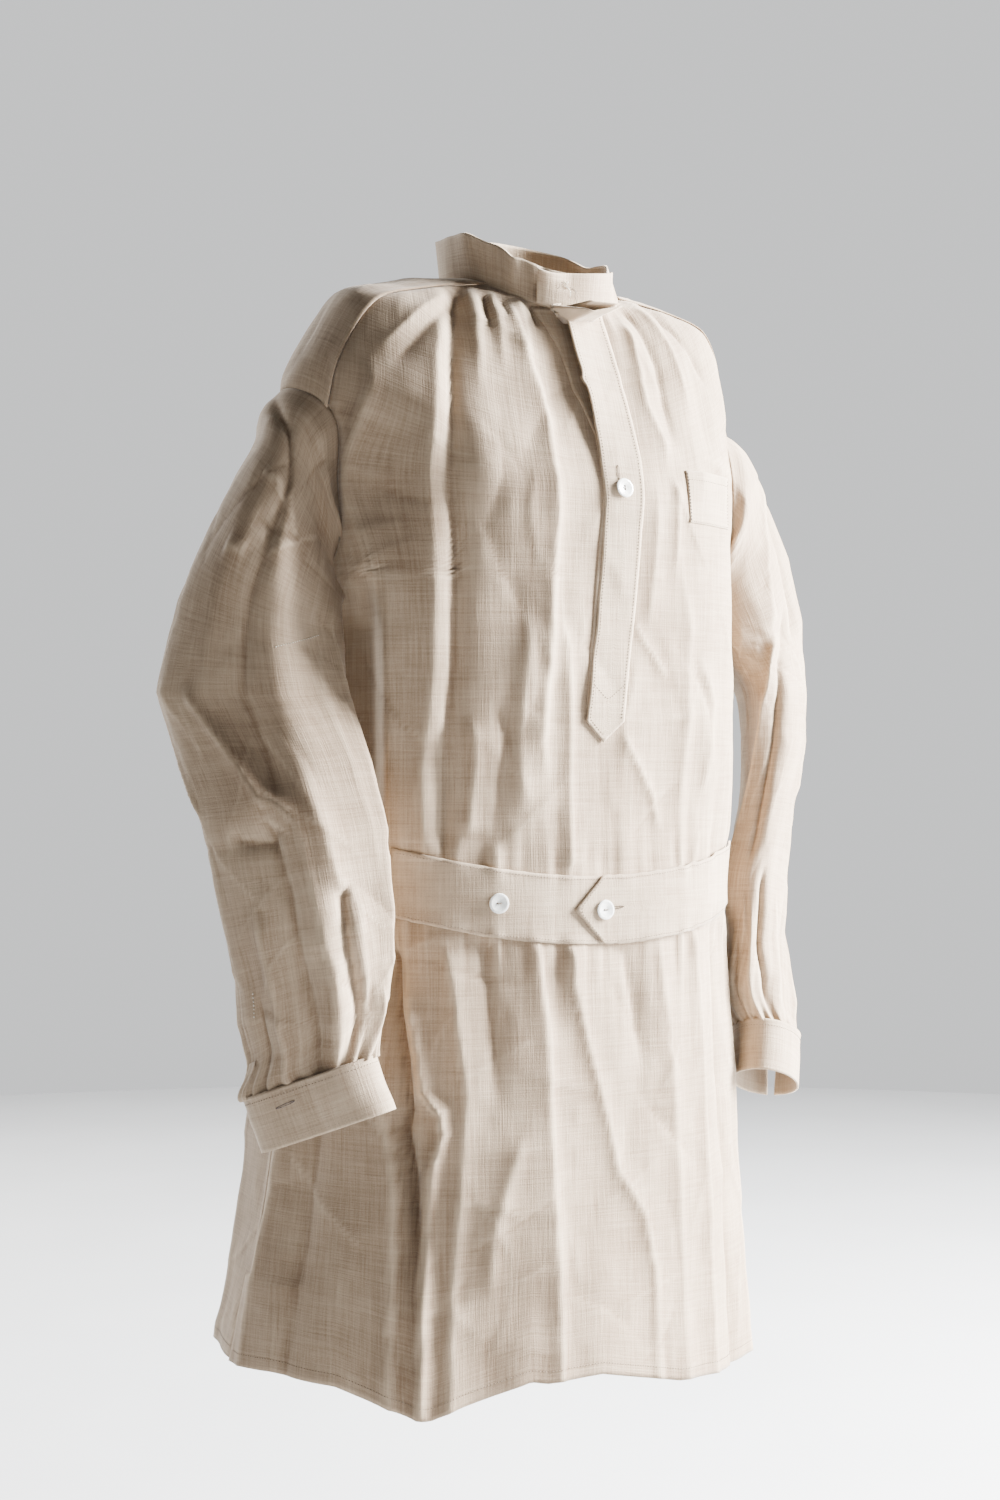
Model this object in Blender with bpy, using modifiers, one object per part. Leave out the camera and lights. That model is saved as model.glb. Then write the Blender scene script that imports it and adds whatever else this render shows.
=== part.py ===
"""Pullover artist's smock in linen, as it hangs when something fills its neck and shoulders.

The origin is on the body's axis at the height of the collar seam. +X is the wearer's left, the
front faces -Y and +Z is up. Every panel is cut from one body form, and the layers that lie on the
body (plackets, pocket and belt) are cut from the same form, lifted by their place in the stack.
"""

import math

import bmesh
import bpy
from mathutils import Matrix, Vector
from mathutils.bvhtree import BVHTree

# Driving dimensions, in metres.
FABRIC = 0.0025  # thickness of a panel with its allowances
LAYER = 0.0012  # thickness of a narrow strip
GAP = 0.0006  # clearance between neighbours
BODY_SIDES = 48  # points round the body form
SLEEVE_SIDES = 28  # points round a sleeve

SIDE_SEAM_Y = 0.010
YOKE_HALF_DEPTH = 0.045
ARMHOLE_RADIUS = 0.085
ARMHOLE_CENTRE = Vector((0.0, 0.010, -0.200))

COLLAR_HEIGHT = 0.039
COLLAR_END_FROM = -28.0  # degrees round the neck from centre front, towards the wearer's left
COLLAR_END_TO = 26.0
COLLAR_BAND_FROM = 30.0
COLLAR_BAND_TO = 374.0

PLACKET_HALF_WIDTH = 0.0215
PLACKET_CENTRE_X = 0.0085  # at the height of its button
PLACKET_SLANT = 0.10  # drift towards the wearer's right for each metre down
PLACKET_TOP_Z = -0.046
PLACKET_BUTTON_Z = -0.205
PLACKET_SPLIT_Z = -0.188
PLACKET_SHOULDER_Z = -0.402
PLACKET_TIP_Z = -0.430
UNDER_PLACKET = (
    (-0.036, PLACKET_TOP_Z), (0.032, PLACKET_TOP_Z), (0.018, PLACKET_BUTTON_Z),
    (-0.004, PLACKET_SHOULDER_Z), (-0.030, PLACKET_SHOULDER_Z), (-0.014, PLACKET_BUTTON_Z),
)

POCKET_LEFT = 0.086
POCKET_WIDTH = 0.068
POCKET_TOP_Z = -0.1824
POCKET_HEIGHT = 0.048
POCKET_ROOM = 0.0100

BELT_HEIGHT = 0.061
BELT_CENTRE_Z = -0.583
BELT_SAG = 0.026
BELT_LEFT_ROOT_X = 0.172
BELT_RIGHT_ROOT_X = -0.196
BELT_UNDER_END_X = 0.034
BELT_TAB_TIP_X = -0.046
BELT_TAB_SHOULDER_X = -0.017
BELT_TAB_BUTTON_X = -0.0150
BELT_FREE_BUTTON_X = -0.118
BUTTONHOLE_WIDTH = 0.0036
STRIP_LIFT = 0.0004  # how far the lowest strip stands off the body
BELT_LIFT = 0.0010

CUFF_HEIGHT = 0.046
CUFF_OPENING = 15.0  # degrees of the cuff's ring left open at the back corner

BUTTON_RADIUS = 0.009
BUTTON_THICKNESS = 0.0024
BUTTON_LIFT = 0.0008
HOLE_RADIUS = 0.0009
HOLE_SPACING = 0.0036
THREAD_RADIUS = 0.0005

# The body form: half width, front depth, back depth, height at side, front and back, squareness,
# and how far its middle stands towards the wearer's left.
BODY_RINGS = (
    (0.083, 0.088, 0.072, -0.002, -0.036, 0.018, 2.0, 0.000),
    (0.150, 0.098, 0.092, -0.010, -0.060, -0.016, 2.0, -0.001),
    (0.190, 0.110, 0.108, -0.022, -0.092, -0.056, 2.1, -0.005),
    (0.206, 0.125, 0.120, -0.060, -0.132, -0.108, 2.3, -0.009),
    (0.211, 0.1425, 0.128, -0.112, -0.180, -0.162, 2.5, -0.012),
    (0.213, 0.150, 0.130, -0.200, -0.215, -0.215, 2.6, -0.012),
    (0.213, 0.151, 0.130, -0.300, -0.300, -0.300, 2.6, -0.012),
    (0.213, 0.151, 0.128, -0.430, -0.430, -0.430, 2.6, -0.012),
    (0.213, 0.151, 0.126, -0.580, -0.580, -0.580, 2.6, -0.012),
    (0.218, 0.156, 0.132, -0.740, -0.740, -0.740, 2.6, -0.014),
    (0.228, 0.166, 0.142, -0.880, -0.880, -0.880, 2.6, -0.020),
    (0.245, 0.180, 0.152, -1.018, -1.018, -1.018, 2.6, -0.028),
)

# A sleeve on the wearer's left: centre, then the two half axes of its section, then its turn.
# The first axis points to the outer edge at zero turn and the second to the front.
SLEEVE_STATIONS = (
    ((0.140, 0.010, -0.200), (0.000, 0.000, 0.0845), (0.000, -0.0845, 0.000), 0.0),
    ((0.222, 0.010, -0.204), (0.018, 0.000, 0.0825), (0.004, -0.0845, 0.000), 0.0),
    ((0.250, 0.002, -0.240), (0.058, 0.004, 0.0620), (0.016, -0.0840, -0.010), 12.0),
    ((0.280, -0.012, -0.305), (0.072, 0.040, 0.0260), (0.030, -0.0600, -0.012), 26.0),
    ((0.298, -0.024, -0.390), (0.066, 0.068, 0.0000), (0.034, -0.0320, 0.000), 45.0),
    ((0.294, -0.030, -0.500), (0.061, 0.064, -0.006), (0.031, -0.0300, 0.000), 45.0),
    ((0.280, -0.032, -0.600), (0.060, 0.064, -0.016), (0.032, -0.0300, 0.000), 45.0),
    ((0.264, -0.036, -0.680), (0.052, 0.055, -0.020), (0.028, -0.0270, 0.000), 45.0),
    ((0.252, -0.040, -0.722), (0.039, 0.042, -0.0205), (0.022, -0.0205, 0.000), 45.0),
)
CUFF_TOP = ((0.2515, -0.0415, -0.7245), (0.0395, 0.0425, -0.0205), (0.022, -0.0205, 0.000), 45.0)
CUFF_AXIS = Vector((-0.2330, -0.2500, -0.9400)).normalized()
# Each sleeve's drift from the mirrored table, as (height, x, y) down its length.
SLEEVE_DRIFT = {
    1: ((-0.240, -0.025, 0.000), (-0.390, 0.000, 0.000), (-0.722, 0.003, 0.000)),
    -1: (
        (-0.240, 0.000, 0.000), (-0.390, 0.002, -0.008), (-0.500, 0.000, -0.046),
        (-0.600, -0.007, -0.058), (-0.680, -0.017, -0.055), (-0.722, -0.024, -0.048),
    ),
}

LINEN = (0.58, 0.53, 0.46, 1.0)
SHELL = (0.82, 0.82, 0.78, 1.0)
THREAD = (0.70, 0.66, 0.58, 1.0)


def clear_scene():
    for thing in list(bpy.data.objects):
        bpy.data.objects.remove(thing)


def new_collection(name):
    collection = bpy.data.collections.new(name)
    bpy.context.scene.collection.children.link(collection)
    return collection


def make_material(name, colour, roughness, metallic=0.0):
    material = bpy.data.materials.new(name)
    material.use_nodes = True
    shader = material.node_tree.nodes["Principled BSDF"]
    shader.inputs["Base Color"].default_value = colour
    shader.inputs["Roughness"].default_value = roughness
    shader.inputs["Metallic"].default_value = metallic
    material.diffuse_color = colour
    return material


def add_object(name, mesh, collection, material=None):
    thing = bpy.data.objects.new(name, mesh)
    collection.objects.link(thing)
    if material:
        mesh.materials.clear()
        mesh.materials.append(material)
    return thing


def as_cutter(thing):
    thing.hide_render = True
    thing.display_type = "WIRE"
    return thing


def power(value, exponent):
    return math.copysign(abs(value) ** exponent, value)


# ---------------------------------------------------------------------------------- lofts


def loft(name, rows, closed, collection, capped=False):
    """A surface through rows of points, wrapped round when closed, with its faces turned outwards."""
    mesh = bpy.data.meshes.new(name)
    count = len(rows[0])
    points = [point for row in rows for point in row]
    spans = count if closed else count - 1
    faces = []
    for r in range(len(rows) - 1):
        for c in range(spans):
            a = r * count + c
            b = r * count + (c + 1) % count
            faces.append((a, a + count, b + count, b))
    if capped:
        faces.append(tuple(range(count)))
        faces.append(tuple(reversed(range(len(points) - count, len(points)))))
    mesh.from_pydata([tuple(point) for point in points], [], faces)
    mesh.update()
    return add_object(name, mesh, collection)


def body_row(ring, sides=BODY_SIDES):
    """One ring of the body form, from centre front towards the wearer's left."""
    half_width, front, back, side_z, front_z, back_z, squareness, middle_x = ring
    row = []
    for i in range(sides):
        turn = 2 * math.pi * i / sides
        x = middle_x + half_width * power(math.sin(turn), 2 / squareness)
        depth, end_z = (front, front_z) if math.cos(turn) > 0 else (back, back_z)
        y = -depth * power(math.cos(turn), 2 / squareness)
        z = side_z + (end_z - side_z) * math.cos(turn) ** 2
        row.append(Vector((x, y, z)))
    return row


def body_form(name, collection, capped=False):
    return loft(name, [body_row(ring) for ring in BODY_RINGS], True, collection, capped)


def sleeve_drift(side, z):
    """How far this sleeve's section stands from the mirrored table at this height."""
    rows = SLEEVE_DRIFT[side]
    if z >= rows[0][0]:
        return Vector((*rows[0][1:], 0))
    for high, low in zip(rows, rows[1:]):
        if z >= low[0]:
            share = (high[0] - z) / (high[0] - low[0])
            return Vector((*high[1:], 0)).lerp(Vector((*low[1:], 0)), share)
    return Vector((*rows[-1][1:], 0))


def sleeve_row(station, side, angles, lift=0.0):
    """Points round a sleeve's section; side is +1 for the wearer's left and -1 for the right."""
    centre, first, second, turn = station
    centre = Vector(centre)
    first = Vector(first)
    second = Vector(second)
    drift = sleeve_drift(side, centre.z)
    row = []
    for angle in angles:
        around = math.radians(angle + turn)
        point = centre + first * math.cos(around) + second * math.sin(around)
        if lift:
            outward = first / first.length * math.cos(around) / first.length
            outward += second / second.length * math.sin(around) / second.length
            point += outward.normalized() * lift
        row.append(Vector((point.x * side, point.y, point.z)) + drift)
    return row


def mix_station(low, high, share):
    centre, first, second = (Vector(a).lerp(Vector(b), share) for a, b in zip(low[:3], high[:3]))
    return centre, first, second, low[3] + (high[3] - low[3]) * share


def flip_when_inside_out(thing, inside_point):
    """Turns every face so that the surface looks away from a point within it."""
    mesh = bmesh.new()
    mesh.from_mesh(thing.data)
    mesh.normal_update()
    facing = sum((f.calc_center_median() - inside_point).dot(f.normal) * f.calc_area() for f in mesh.faces)
    if facing < 0:
        bmesh.ops.reverse_faces(mesh, faces=mesh.faces)
    mesh.to_mesh(thing.data)
    mesh.free()


# ------------------------------------------------------------------------------ modifiers


def solidify(thing, thickness, offset):
    shell = thing.modifiers.new("Thickness", "SOLIDIFY")
    shell.thickness = thickness
    shell.offset = offset
    shell.use_even_offset = True
    shell.use_quality_normals = True


def cut(thing, cutter, operation):
    boolean = thing.modifiers.new("Cut " + cutter.name, "BOOLEAN")
    boolean.object = cutter
    boolean.operation = operation
    boolean.solver = "EXACT"


def prism(name, outline, low_y, high_y, collection):
    """A cutter with this outline, seen from the front, between two depths."""
    mesh = bpy.data.meshes.new(name)
    shape = bmesh.new()
    corners = [shape.verts.new((x, low_y, z)) for x, z in outline]
    face = shape.faces.new(corners)
    swept = bmesh.ops.extrude_face_region(shape, geom=[face])
    moved = [item for item in swept["geom"] if isinstance(item, bmesh.types.BMVert)]
    bmesh.ops.translate(shape, verts=moved, vec=(0, high_y - low_y, 0))
    bmesh.ops.recalc_face_normals(shape, faces=shape.faces)
    shape.to_mesh(mesh)
    shape.free()
    return as_cutter(add_object(name, mesh, collection))


def block(name, low, high, collection):
    """A cutter box between two corners."""
    mesh = bpy.data.meshes.new(name)
    shape = bmesh.new()
    size = [b - a for a, b in zip(low, high)]
    middle = [(a + b) / 2 for a, b in zip(low, high)]
    bmesh.ops.create_cube(shape, size=1.0, matrix=Matrix.Translation(middle) @ Matrix.Diagonal((*size, 1.0)))
    shape.to_mesh(mesh)
    shape.free()
    return as_cutter(add_object(name, mesh, collection))


def steps(low, high, count):
    return [low + (high - low) * i / (count - 1) for i in range(count)]


# ---------------------------------------------------------------------------------- body


def layer_from_form(name, lift, thickness):
    """A layer of the body form's shape, lifted off it."""
    thing = body_form(name, PIECES)
    flip_when_inside_out(thing, Vector((0, 0, -0.5)))
    thing.data.materials.append(LINEN_CLOTH)
    if lift:
        raised = thing.modifiers.new("Lift", "DISPLACE")
        raised.strength = lift
        raised.mid_level = 0.0
    solidify(thing, thickness, 1.0)
    thing.modifiers.new("Triangles", "TRIANGULATE")
    return thing


def make_armhole_cutter(side):
    mesh = bpy.data.meshes.new("armhole cutter")
    shape = bmesh.new()
    centre = Vector((side * 0.23, ARMHOLE_CENTRE.y, ARMHOLE_CENTRE.z))
    place = Matrix.Translation(centre) @ Matrix.Rotation(math.pi / 2, 4, "Y")
    bmesh.ops.create_cone(
        shape, cap_ends=True, segments=SLEEVE_SIDES, radius1=ARMHOLE_RADIUS, radius2=ARMHOLE_RADIUS,
        depth=0.24, matrix=place,
    )
    shape.to_mesh(mesh)
    shape.free()
    return as_cutter(add_object("armhole cutter", mesh, CUTTERS))


def make_body_panels():
    """Front, back and the two shoulder yokes, parted at the side seams and at the yoke seams."""
    armholes = [make_armhole_cutter(side) for side in (1, -1)]
    edge = GAP / 2
    middle_z = ARMHOLE_CENTRE.z
    front_outline = prism_yz(
        "front cutter",
        ((-0.5, 0.3), (-YOKE_HALF_DEPTH - edge, 0.3), (-YOKE_HALF_DEPTH - edge, middle_z),
         (SIDE_SEAM_Y - edge, middle_z), (SIDE_SEAM_Y - edge, -1.3), (-0.5, -1.3)),
    )
    back_outline = prism_yz(
        "back cutter",
        ((0.5, 0.3), (0.5, -1.3), (SIDE_SEAM_Y + edge, -1.3), (SIDE_SEAM_Y + edge, middle_z),
         (YOKE_HALF_DEPTH + edge, middle_z), (YOKE_HALF_DEPTH + edge, 0.3)),
    )
    for name, cutter in (("front_body", front_outline), ("back_body", back_outline)):
        panel = layer_from_form(name, -FABRIC, FABRIC)
        cut(panel, cutter, "INTERSECT")
        for armhole in armholes:
            cut(panel, armhole, "DIFFERENCE")
    for name, side, armhole in (
        ("shoulder_yoke_left", 1, armholes[0]), ("shoulder_yoke_right", -1, armholes[1])
    ):
        yoke = layer_from_form(name, -FABRIC, FABRIC)
        inner, outer = sorted((side * 0.01, side * 0.5))
        low = (inner, -YOKE_HALF_DEPTH + edge, middle_z)
        high = (outer, YOKE_HALF_DEPTH - edge, 0.3)
        cut(yoke, block("yoke cutter", low, high, CUTTERS), "INTERSECT")
        cut(yoke, armhole, "DIFFERENCE")


def prism_yz(name, outline):
    """A cutter with this outline, seen from the side, right across the body."""
    mesh = bpy.data.meshes.new(name)
    shape = bmesh.new()
    corners = [shape.verts.new((-0.6, y, z)) for y, z in outline]
    face = shape.faces.new(corners)
    swept = bmesh.ops.extrude_face_region(shape, geom=[face])
    moved = [item for item in swept["geom"] if isinstance(item, bmesh.types.BMVert)]
    bmesh.ops.translate(shape, verts=moved, vec=(1.2, 0, 0))
    bmesh.ops.recalc_face_normals(shape, faces=shape.faces)
    shape.to_mesh(mesh)
    shape.free()
    return as_cutter(add_object(name, mesh, CUTTERS))


def front_strip(name, outline, lift, thickness=LAYER):
    """A strip that lies on the front, with this outline as seen from the front."""
    strip = layer_from_form(name, lift, thickness)
    cut(strip, prism(name + " cutter", outline, -0.5, -0.02, CUTTERS), "INTERSECT")
    return strip


def surface_at(x, z):
    """The body form's point and outward normal at the front, for a place seen from the front."""
    point, normal, _, _ = FORM_TREE.ray_cast(Vector((x, -1.0, z)), Vector((0, 1, 0)))
    return point, normal if normal.y < 0 else -normal


# -------------------------------------------------------------------------------- collar


def neck_point(turn, height, lift):
    """A place on the collar: round the neck from centre front, up the band, and off its face."""
    half_width, front, back, side_z, front_z, back_z = BODY_RINGS[0][:6]
    lean = 1.0 + 0.04 * height / COLLAR_HEIGHT
    depth, end_z = (front, front_z) if math.cos(turn) > 0 else (back, back_z)
    x = (half_width * lean + lift) * math.sin(turn)
    y = -(depth * lean + lift) * math.cos(turn)
    z = side_z + (end_z - side_z) * math.cos(turn) ** 2
    return Vector((x, y, z + height))


def collar_strip(name, low_degrees, high_degrees, lift, count):
    angles = [math.radians(a) for a in steps(low_degrees, high_degrees, count)]
    heights = (0.0016, 0.5 * COLLAR_HEIGHT, COLLAR_HEIGHT)
    rows = [[neck_point(turn, height, lift) for turn in angles] for height in reversed(heights)]
    strip = loft(name, rows, False, PIECES)
    flip_when_inside_out(strip, Vector((0, 0, 0.01)))
    strip.data.materials.append(LINEN_CLOTH)
    solidify(strip, FABRIC, 1.0)
    return strip


def make_collar():
    collar_strip("collar_band", COLLAR_BAND_FROM, COLLAR_BAND_TO, 0.0, 44)
    collar_strip("collar_end", COLLAR_END_FROM, COLLAR_END_TO, FABRIC + 2 * GAP, 10)


# ------------------------------------------------------------------------------ plackets


def placket_x(z, across):
    """A place across the upper placket: -1 at its free edge, +1 at its sewn edge."""
    return PLACKET_CENTRE_X + PLACKET_SLANT * (z - PLACKET_BUTTON_Z) + PLACKET_HALF_WIDTH * across


def make_plackets():
    """The under strip, and over it the upper strip in two parts: sewn down below, free above."""
    over_lift = STRIP_LIFT + LAYER + GAP
    front_strip("placket_under", UNDER_PLACKET, STRIP_LIFT)
    low = PLACKET_SPLIT_Z - GAP / 2
    lower = front_strip(
        "placket_over_lower",
        ((placket_x(low, -1), low), (placket_x(low, 1), low),
         (placket_x(PLACKET_SHOULDER_Z, 1), PLACKET_SHOULDER_Z), (placket_x(PLACKET_TIP_Z, 0), PLACKET_TIP_Z),
         (placket_x(PLACKET_SHOULDER_Z, -1), PLACKET_SHOULDER_Z)),
        over_lift,
    )
    half_slot = BUTTONHOLE_WIDTH / 2
    slot = block(
        "placket buttonhole",
        (PLACKET_CENTRE_X - half_slot, -0.5, PLACKET_BUTTON_Z - 0.010),
        (PLACKET_CENTRE_X + half_slot, -0.02, PLACKET_BUTTON_Z + 0.012), CUTTERS,
    )
    cut(lower, slot, "DIFFERENCE")
    high = PLACKET_SPLIT_Z + GAP / 2
    front_strip(
        "placket_over_flap",
        ((placket_x(PLACKET_TOP_Z, -1), PLACKET_TOP_Z), (placket_x(PLACKET_TOP_Z, 1), PLACKET_TOP_Z),
         (placket_x(high, 1), high), (placket_x(high, -1), high)),
        over_lift,
    )


def make_pocket():
    """A patch pocket sewn on at both sides and below, held open enough for a hand's tools."""
    rim = 0.0018
    right = POCKET_LEFT + POCKET_WIDTH
    bottom = POCKET_TOP_Z - POCKET_HEIGHT
    pocket = front_strip(
        "chest_pocket",
        ((POCKET_LEFT, POCKET_TOP_Z), (right, POCKET_TOP_Z), (right, bottom), (POCKET_LEFT, bottom)),
        STRIP_LIFT, POCKET_ROOM + LAYER,
    )
    room = layer_from_form("pocket room", -LAYER, LAYER + STRIP_LIFT + POCKET_ROOM)
    cut(
        room,
        prism(
            "pocket room outline",
            ((POCKET_LEFT + rim, POCKET_TOP_Z + 0.01), (right - rim, POCKET_TOP_Z + 0.01),
             (right - rim, bottom + rim), (POCKET_LEFT + rim, bottom + rim)),
            -0.5, -0.02, CUTTERS,
        ),
        "INTERSECT",
    )
    PIECES.objects.unlink(room)
    CUTTERS.objects.link(as_cutter(room))
    cut(pocket, room, "DIFFERENCE")


# ---------------------------------------------------------------------------------- belt


def belt_line(x):
    """The height of the belt's middle, which sags between its two sewn ends."""
    middle = (BELT_LEFT_ROOT_X + BELT_RIGHT_ROOT_X) / 2
    reach = (BELT_LEFT_ROOT_X - BELT_RIGHT_ROOT_X) / 2
    return BELT_CENTRE_Z + BELT_SAG * ((x - middle) / reach) ** 2


def belt_edge(start, end, rise):
    return [(x, belt_line(x) + rise) for x in steps(start, end, 12)]


def make_belt():
    """The right half runs under the left half, whose pointed end buttons over it."""
    half = BELT_HEIGHT / 2
    band = belt_edge(BELT_RIGHT_ROOT_X, BELT_UNDER_END_X, half)
    band += belt_edge(BELT_UNDER_END_X, BELT_RIGHT_ROOT_X, -half)
    front_strip("belt_right", band, BELT_LIFT)
    tab_outline = belt_edge(BELT_TAB_SHOULDER_X, BELT_LEFT_ROOT_X, half)
    tab_outline += belt_edge(BELT_LEFT_ROOT_X, BELT_TAB_SHOULDER_X, -half)
    tab_outline.append((BELT_TAB_TIP_X, belt_line(BELT_TAB_TIP_X)))
    tab = front_strip("belt_left", tab_outline, BELT_LIFT + LAYER + GAP)
    half_slot = BUTTONHOLE_WIDTH / 2
    z = belt_line(BELT_TAB_BUTTON_X)
    slot = block(
        "belt buttonhole",
        (BELT_TAB_BUTTON_X - 0.004, -0.5, z - half_slot),
        (BELT_TAB_BUTTON_X + 0.018, -0.02, z + half_slot), CUTTERS,
    )
    cut(tab, slot, "DIFFERENCE")


# -------------------------------------------------------------------------------- sleeve


def make_sleeve(side, suffix, plug):
    step = 360 / SLEEVE_SIDES
    angles = [i * step for i in range(SLEEVE_SIDES)]
    rows = [sleeve_row(station, side, angles) for station in SLEEVE_STATIONS]
    sleeve = loft("sleeve_" + suffix, rows, True, PIECES)
    flip_when_inside_out(sleeve, Vector((side * 0.29, -0.025, -0.42)))
    sleeve.data.materials.append(LINEN_CLOTH)
    solidify(sleeve, FABRIC, -1.0)
    cut(sleeve, plug, "DIFFERENCE")


def cuff_station(height):
    centre, first, second, turn = CUFF_TOP
    axis = Vector((CUFF_AXIS.x, CUFF_AXIS.y, CUFF_AXIS.z))
    return Vector(centre) + axis * height, first, second, turn


def make_cuff(side, suffix):
    """A flattened band, open at its back corner where its two ends button."""
    back_corner = -CUFF_TOP[3]
    half_gap = CUFF_OPENING / 2
    angles = steps(back_corner + half_gap, back_corner + 360 - half_gap, 34)
    rows = [sleeve_row(cuff_station(h), side, angles) for h in (0.0, CUFF_HEIGHT / 2, CUFF_HEIGHT)]
    cuff = loft("cuff_" + suffix, rows, False, PIECES)
    flip_when_inside_out(cuff, Vector((side * 0.247, -0.047, -0.747)))
    cuff.data.materials.append(LINEN_CLOTH)
    solidify(cuff, FABRIC, -1.0)
    return cuff


def make_vent_facing(side, suffix):
    """The narrow strip that binds the slit above the cuff, on the sleeve's back edge."""
    low, high = SLEEVE_STATIONS[-3], SLEEVE_STATIONS[-2]
    angles = steps(-CUFF_TOP[3] + 12, -CUFF_TOP[3] + 36, 5)
    rows = [
        sleeve_row(mix_station(low, high, share), side, angles, lift=1.2e-3)
        for share in (0.30, 0.50, 0.70, 0.90)
    ]
    facing = loft("sleeve_vent_facing_" + suffix, rows, False, PIECES)
    flip_when_inside_out(facing, Vector((side * 0.27, -0.034, -0.65)))
    facing.data.materials.append(LINEN_CLOTH)
    solidify(facing, 1.0e-3, 1.0)


# ------------------------------------------------------------------------------- buttons


def button_mesh():
    """A two-hole shell button: a turned disc with a raised rim round a dished middle."""
    mesh = bpy.data.meshes.new("button profile")
    radius = BUTTON_RADIUS
    top = BUTTON_THICKNESS
    profile = (
        (0.0, 0.62 * top), (0.22 * radius, 0.62 * top), (0.45 * radius, 0.80 * top),
        (0.80 * radius, top), (0.95 * radius, 0.90 * top), (radius, 0.55 * top),
        (0.92 * radius, 0.12 * top), (0.70 * radius, 0.0), (0.0, 0.0),
    )
    mesh.from_pydata([(x, 0.0, z) for x, z in profile], [(i, i + 1) for i in range(len(profile) - 1)], [])
    return mesh


def make_button(name, place, normal, up, length):
    """A button and its sewing thread, standing on a surface; length is how far the thread reaches in."""
    outward = normal.normalized()
    across = up.cross(outward).normalized()
    upward = outward.cross(across)
    turn = Matrix((across, upward, outward)).transposed().to_4x4()
    seat = Matrix.Translation(place + outward * BUTTON_LIFT) @ turn
    button = add_object(name, button_mesh(), PIECES, SHELL_BUTTON)
    button.matrix_world = seat
    screw = button.modifiers.new("Turn", "SCREW")
    screw.axis = "Z"
    screw.steps = 24
    screw.render_steps = 24
    screw.use_merge_vertices = True
    screw.merge_threshold = 0.00005
    screw.use_smooth_shade = True
    for i, offset in enumerate((-HOLE_SPACING / 2, HOLE_SPACING / 2)):
        drill = bpy.data.meshes.new("drill")
        shape = bmesh.new()
        bmesh.ops.create_cone(
            shape, cap_ends=True, segments=10, radius1=HOLE_RADIUS, radius2=HOLE_RADIUS, depth=0.02
        )
        shape.to_mesh(drill)
        shape.free()
        cutter = as_cutter(add_object(name + " drill", drill, CUTTERS))
        cutter.matrix_world = seat @ Matrix.Translation((offset, 0, 0))
        cut(button, cutter, "DIFFERENCE")
    make_thread(name, seat, length)


def make_thread(name, seat, length):
    """The sewing thread: down through both holes, joined by the stitch that crosses the dish."""
    curve = bpy.data.curves.new("thread of " + name, "CURVE")
    curve.dimensions = "3D"
    curve.bevel_depth = THREAD_RADIUS
    curve.bevel_resolution = 1
    curve.use_fill_caps = True
    half = HOLE_SPACING / 2
    crown = 0.62 * BUTTON_THICKNESS + THREAD_RADIUS + 0.0003
    places = ((-half, -length), (-half, crown - 0.0004), (-0.6 * half, crown), (0.6 * half, crown),
              (half, crown - 0.0004), (half, -length))
    spline = curve.splines.new("POLY")
    spline.points.add(len(places) - 1)
    for point, (x, z) in zip(spline.points, places):
        point.co = (x, 0.0, z, 1.0)
    thread = bpy.data.objects.new(name.replace("button", "thread"), curve)
    PIECES.objects.link(thread)
    curve.materials.append(SEWING_THREAD)
    thread.matrix_world = seat


def make_front_buttons():
    """The placket's button, the button under the belt's tab, and the belt's second button."""
    upright = Vector((0, 0, 1))
    sideways = Vector((1, 0, 0))
    on_strip = STRIP_LIFT + LAYER
    on_belt = BELT_LIFT + LAYER
    over = GAP + LAYER
    tab_z = belt_line(BELT_TAB_BUTTON_X)
    free_z = belt_line(BELT_FREE_BUTTON_X)
    seats = (
        ("placket_button", PLACKET_CENTRE_X, PLACKET_BUTTON_Z, on_strip, over, sideways),
        ("belt_tab_button", BELT_TAB_BUTTON_X, tab_z, on_belt, over, upright),
        ("belt_free_button", BELT_FREE_BUTTON_X, free_z, on_belt, 0.0, upright),
    )
    for name, x, z, sewn_to, passes, up in seats:
        point, normal = surface_at(x, z)
        make_button(name, point + normal * (sewn_to + passes), normal, up, passes + BUTTON_LIFT / 2)


def make_cuff_button(side, suffix):
    """The button on the cuff's inner end, beside the opening at the back corner."""
    turn = -CUFF_TOP[3] - 38.0
    station = cuff_station(CUFF_HEIGHT / 2)
    here, before, after = sleeve_row(station, side, (turn, turn - 4, turn + 4))
    axis = Vector((CUFF_AXIS.x * side, CUFF_AXIS.y, CUFF_AXIS.z))
    normal = (after - before).cross(axis).normalized()
    middle = Vector((station[0].x * side, station[0].y, station[0].z))
    middle += sleeve_drift(side, middle.z)
    if normal.dot(here - middle) < 0:
        normal.negate()
    make_button("cuff_button_" + suffix, here + normal * 0.2e-3, normal, -axis, BUTTON_LIFT / 2)


# ------------------------------------------------------------------------------ pivots


def attach(child, parent):
    """Hangs an object on a pivot without moving it; every pivot is unturned."""
    child.parent = parent
    child.matrix_parent_inverse = Matrix.Translation(parent["place"]).inverted()


def make_pivot(name, place, pieces, carrier=None):
    """An empty on a joint's axis that carries the pieces that turn about it."""
    pivot = bpy.data.objects.new(name, None)
    pivot["place"] = tuple(place)
    pivot.location = place
    PIECES.objects.link(pivot)
    for piece in pieces:
        attach(bpy.data.objects[piece], pivot)
    if carrier:
        attach(pivot, carrier)
    return pivot


def make_button_pivot(button, carrier=None):
    place = bpy.data.objects[button].matrix_world.translation.copy()
    make_pivot(button + " axis", place, (button, button.replace("button", "thread")), carrier)


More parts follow.
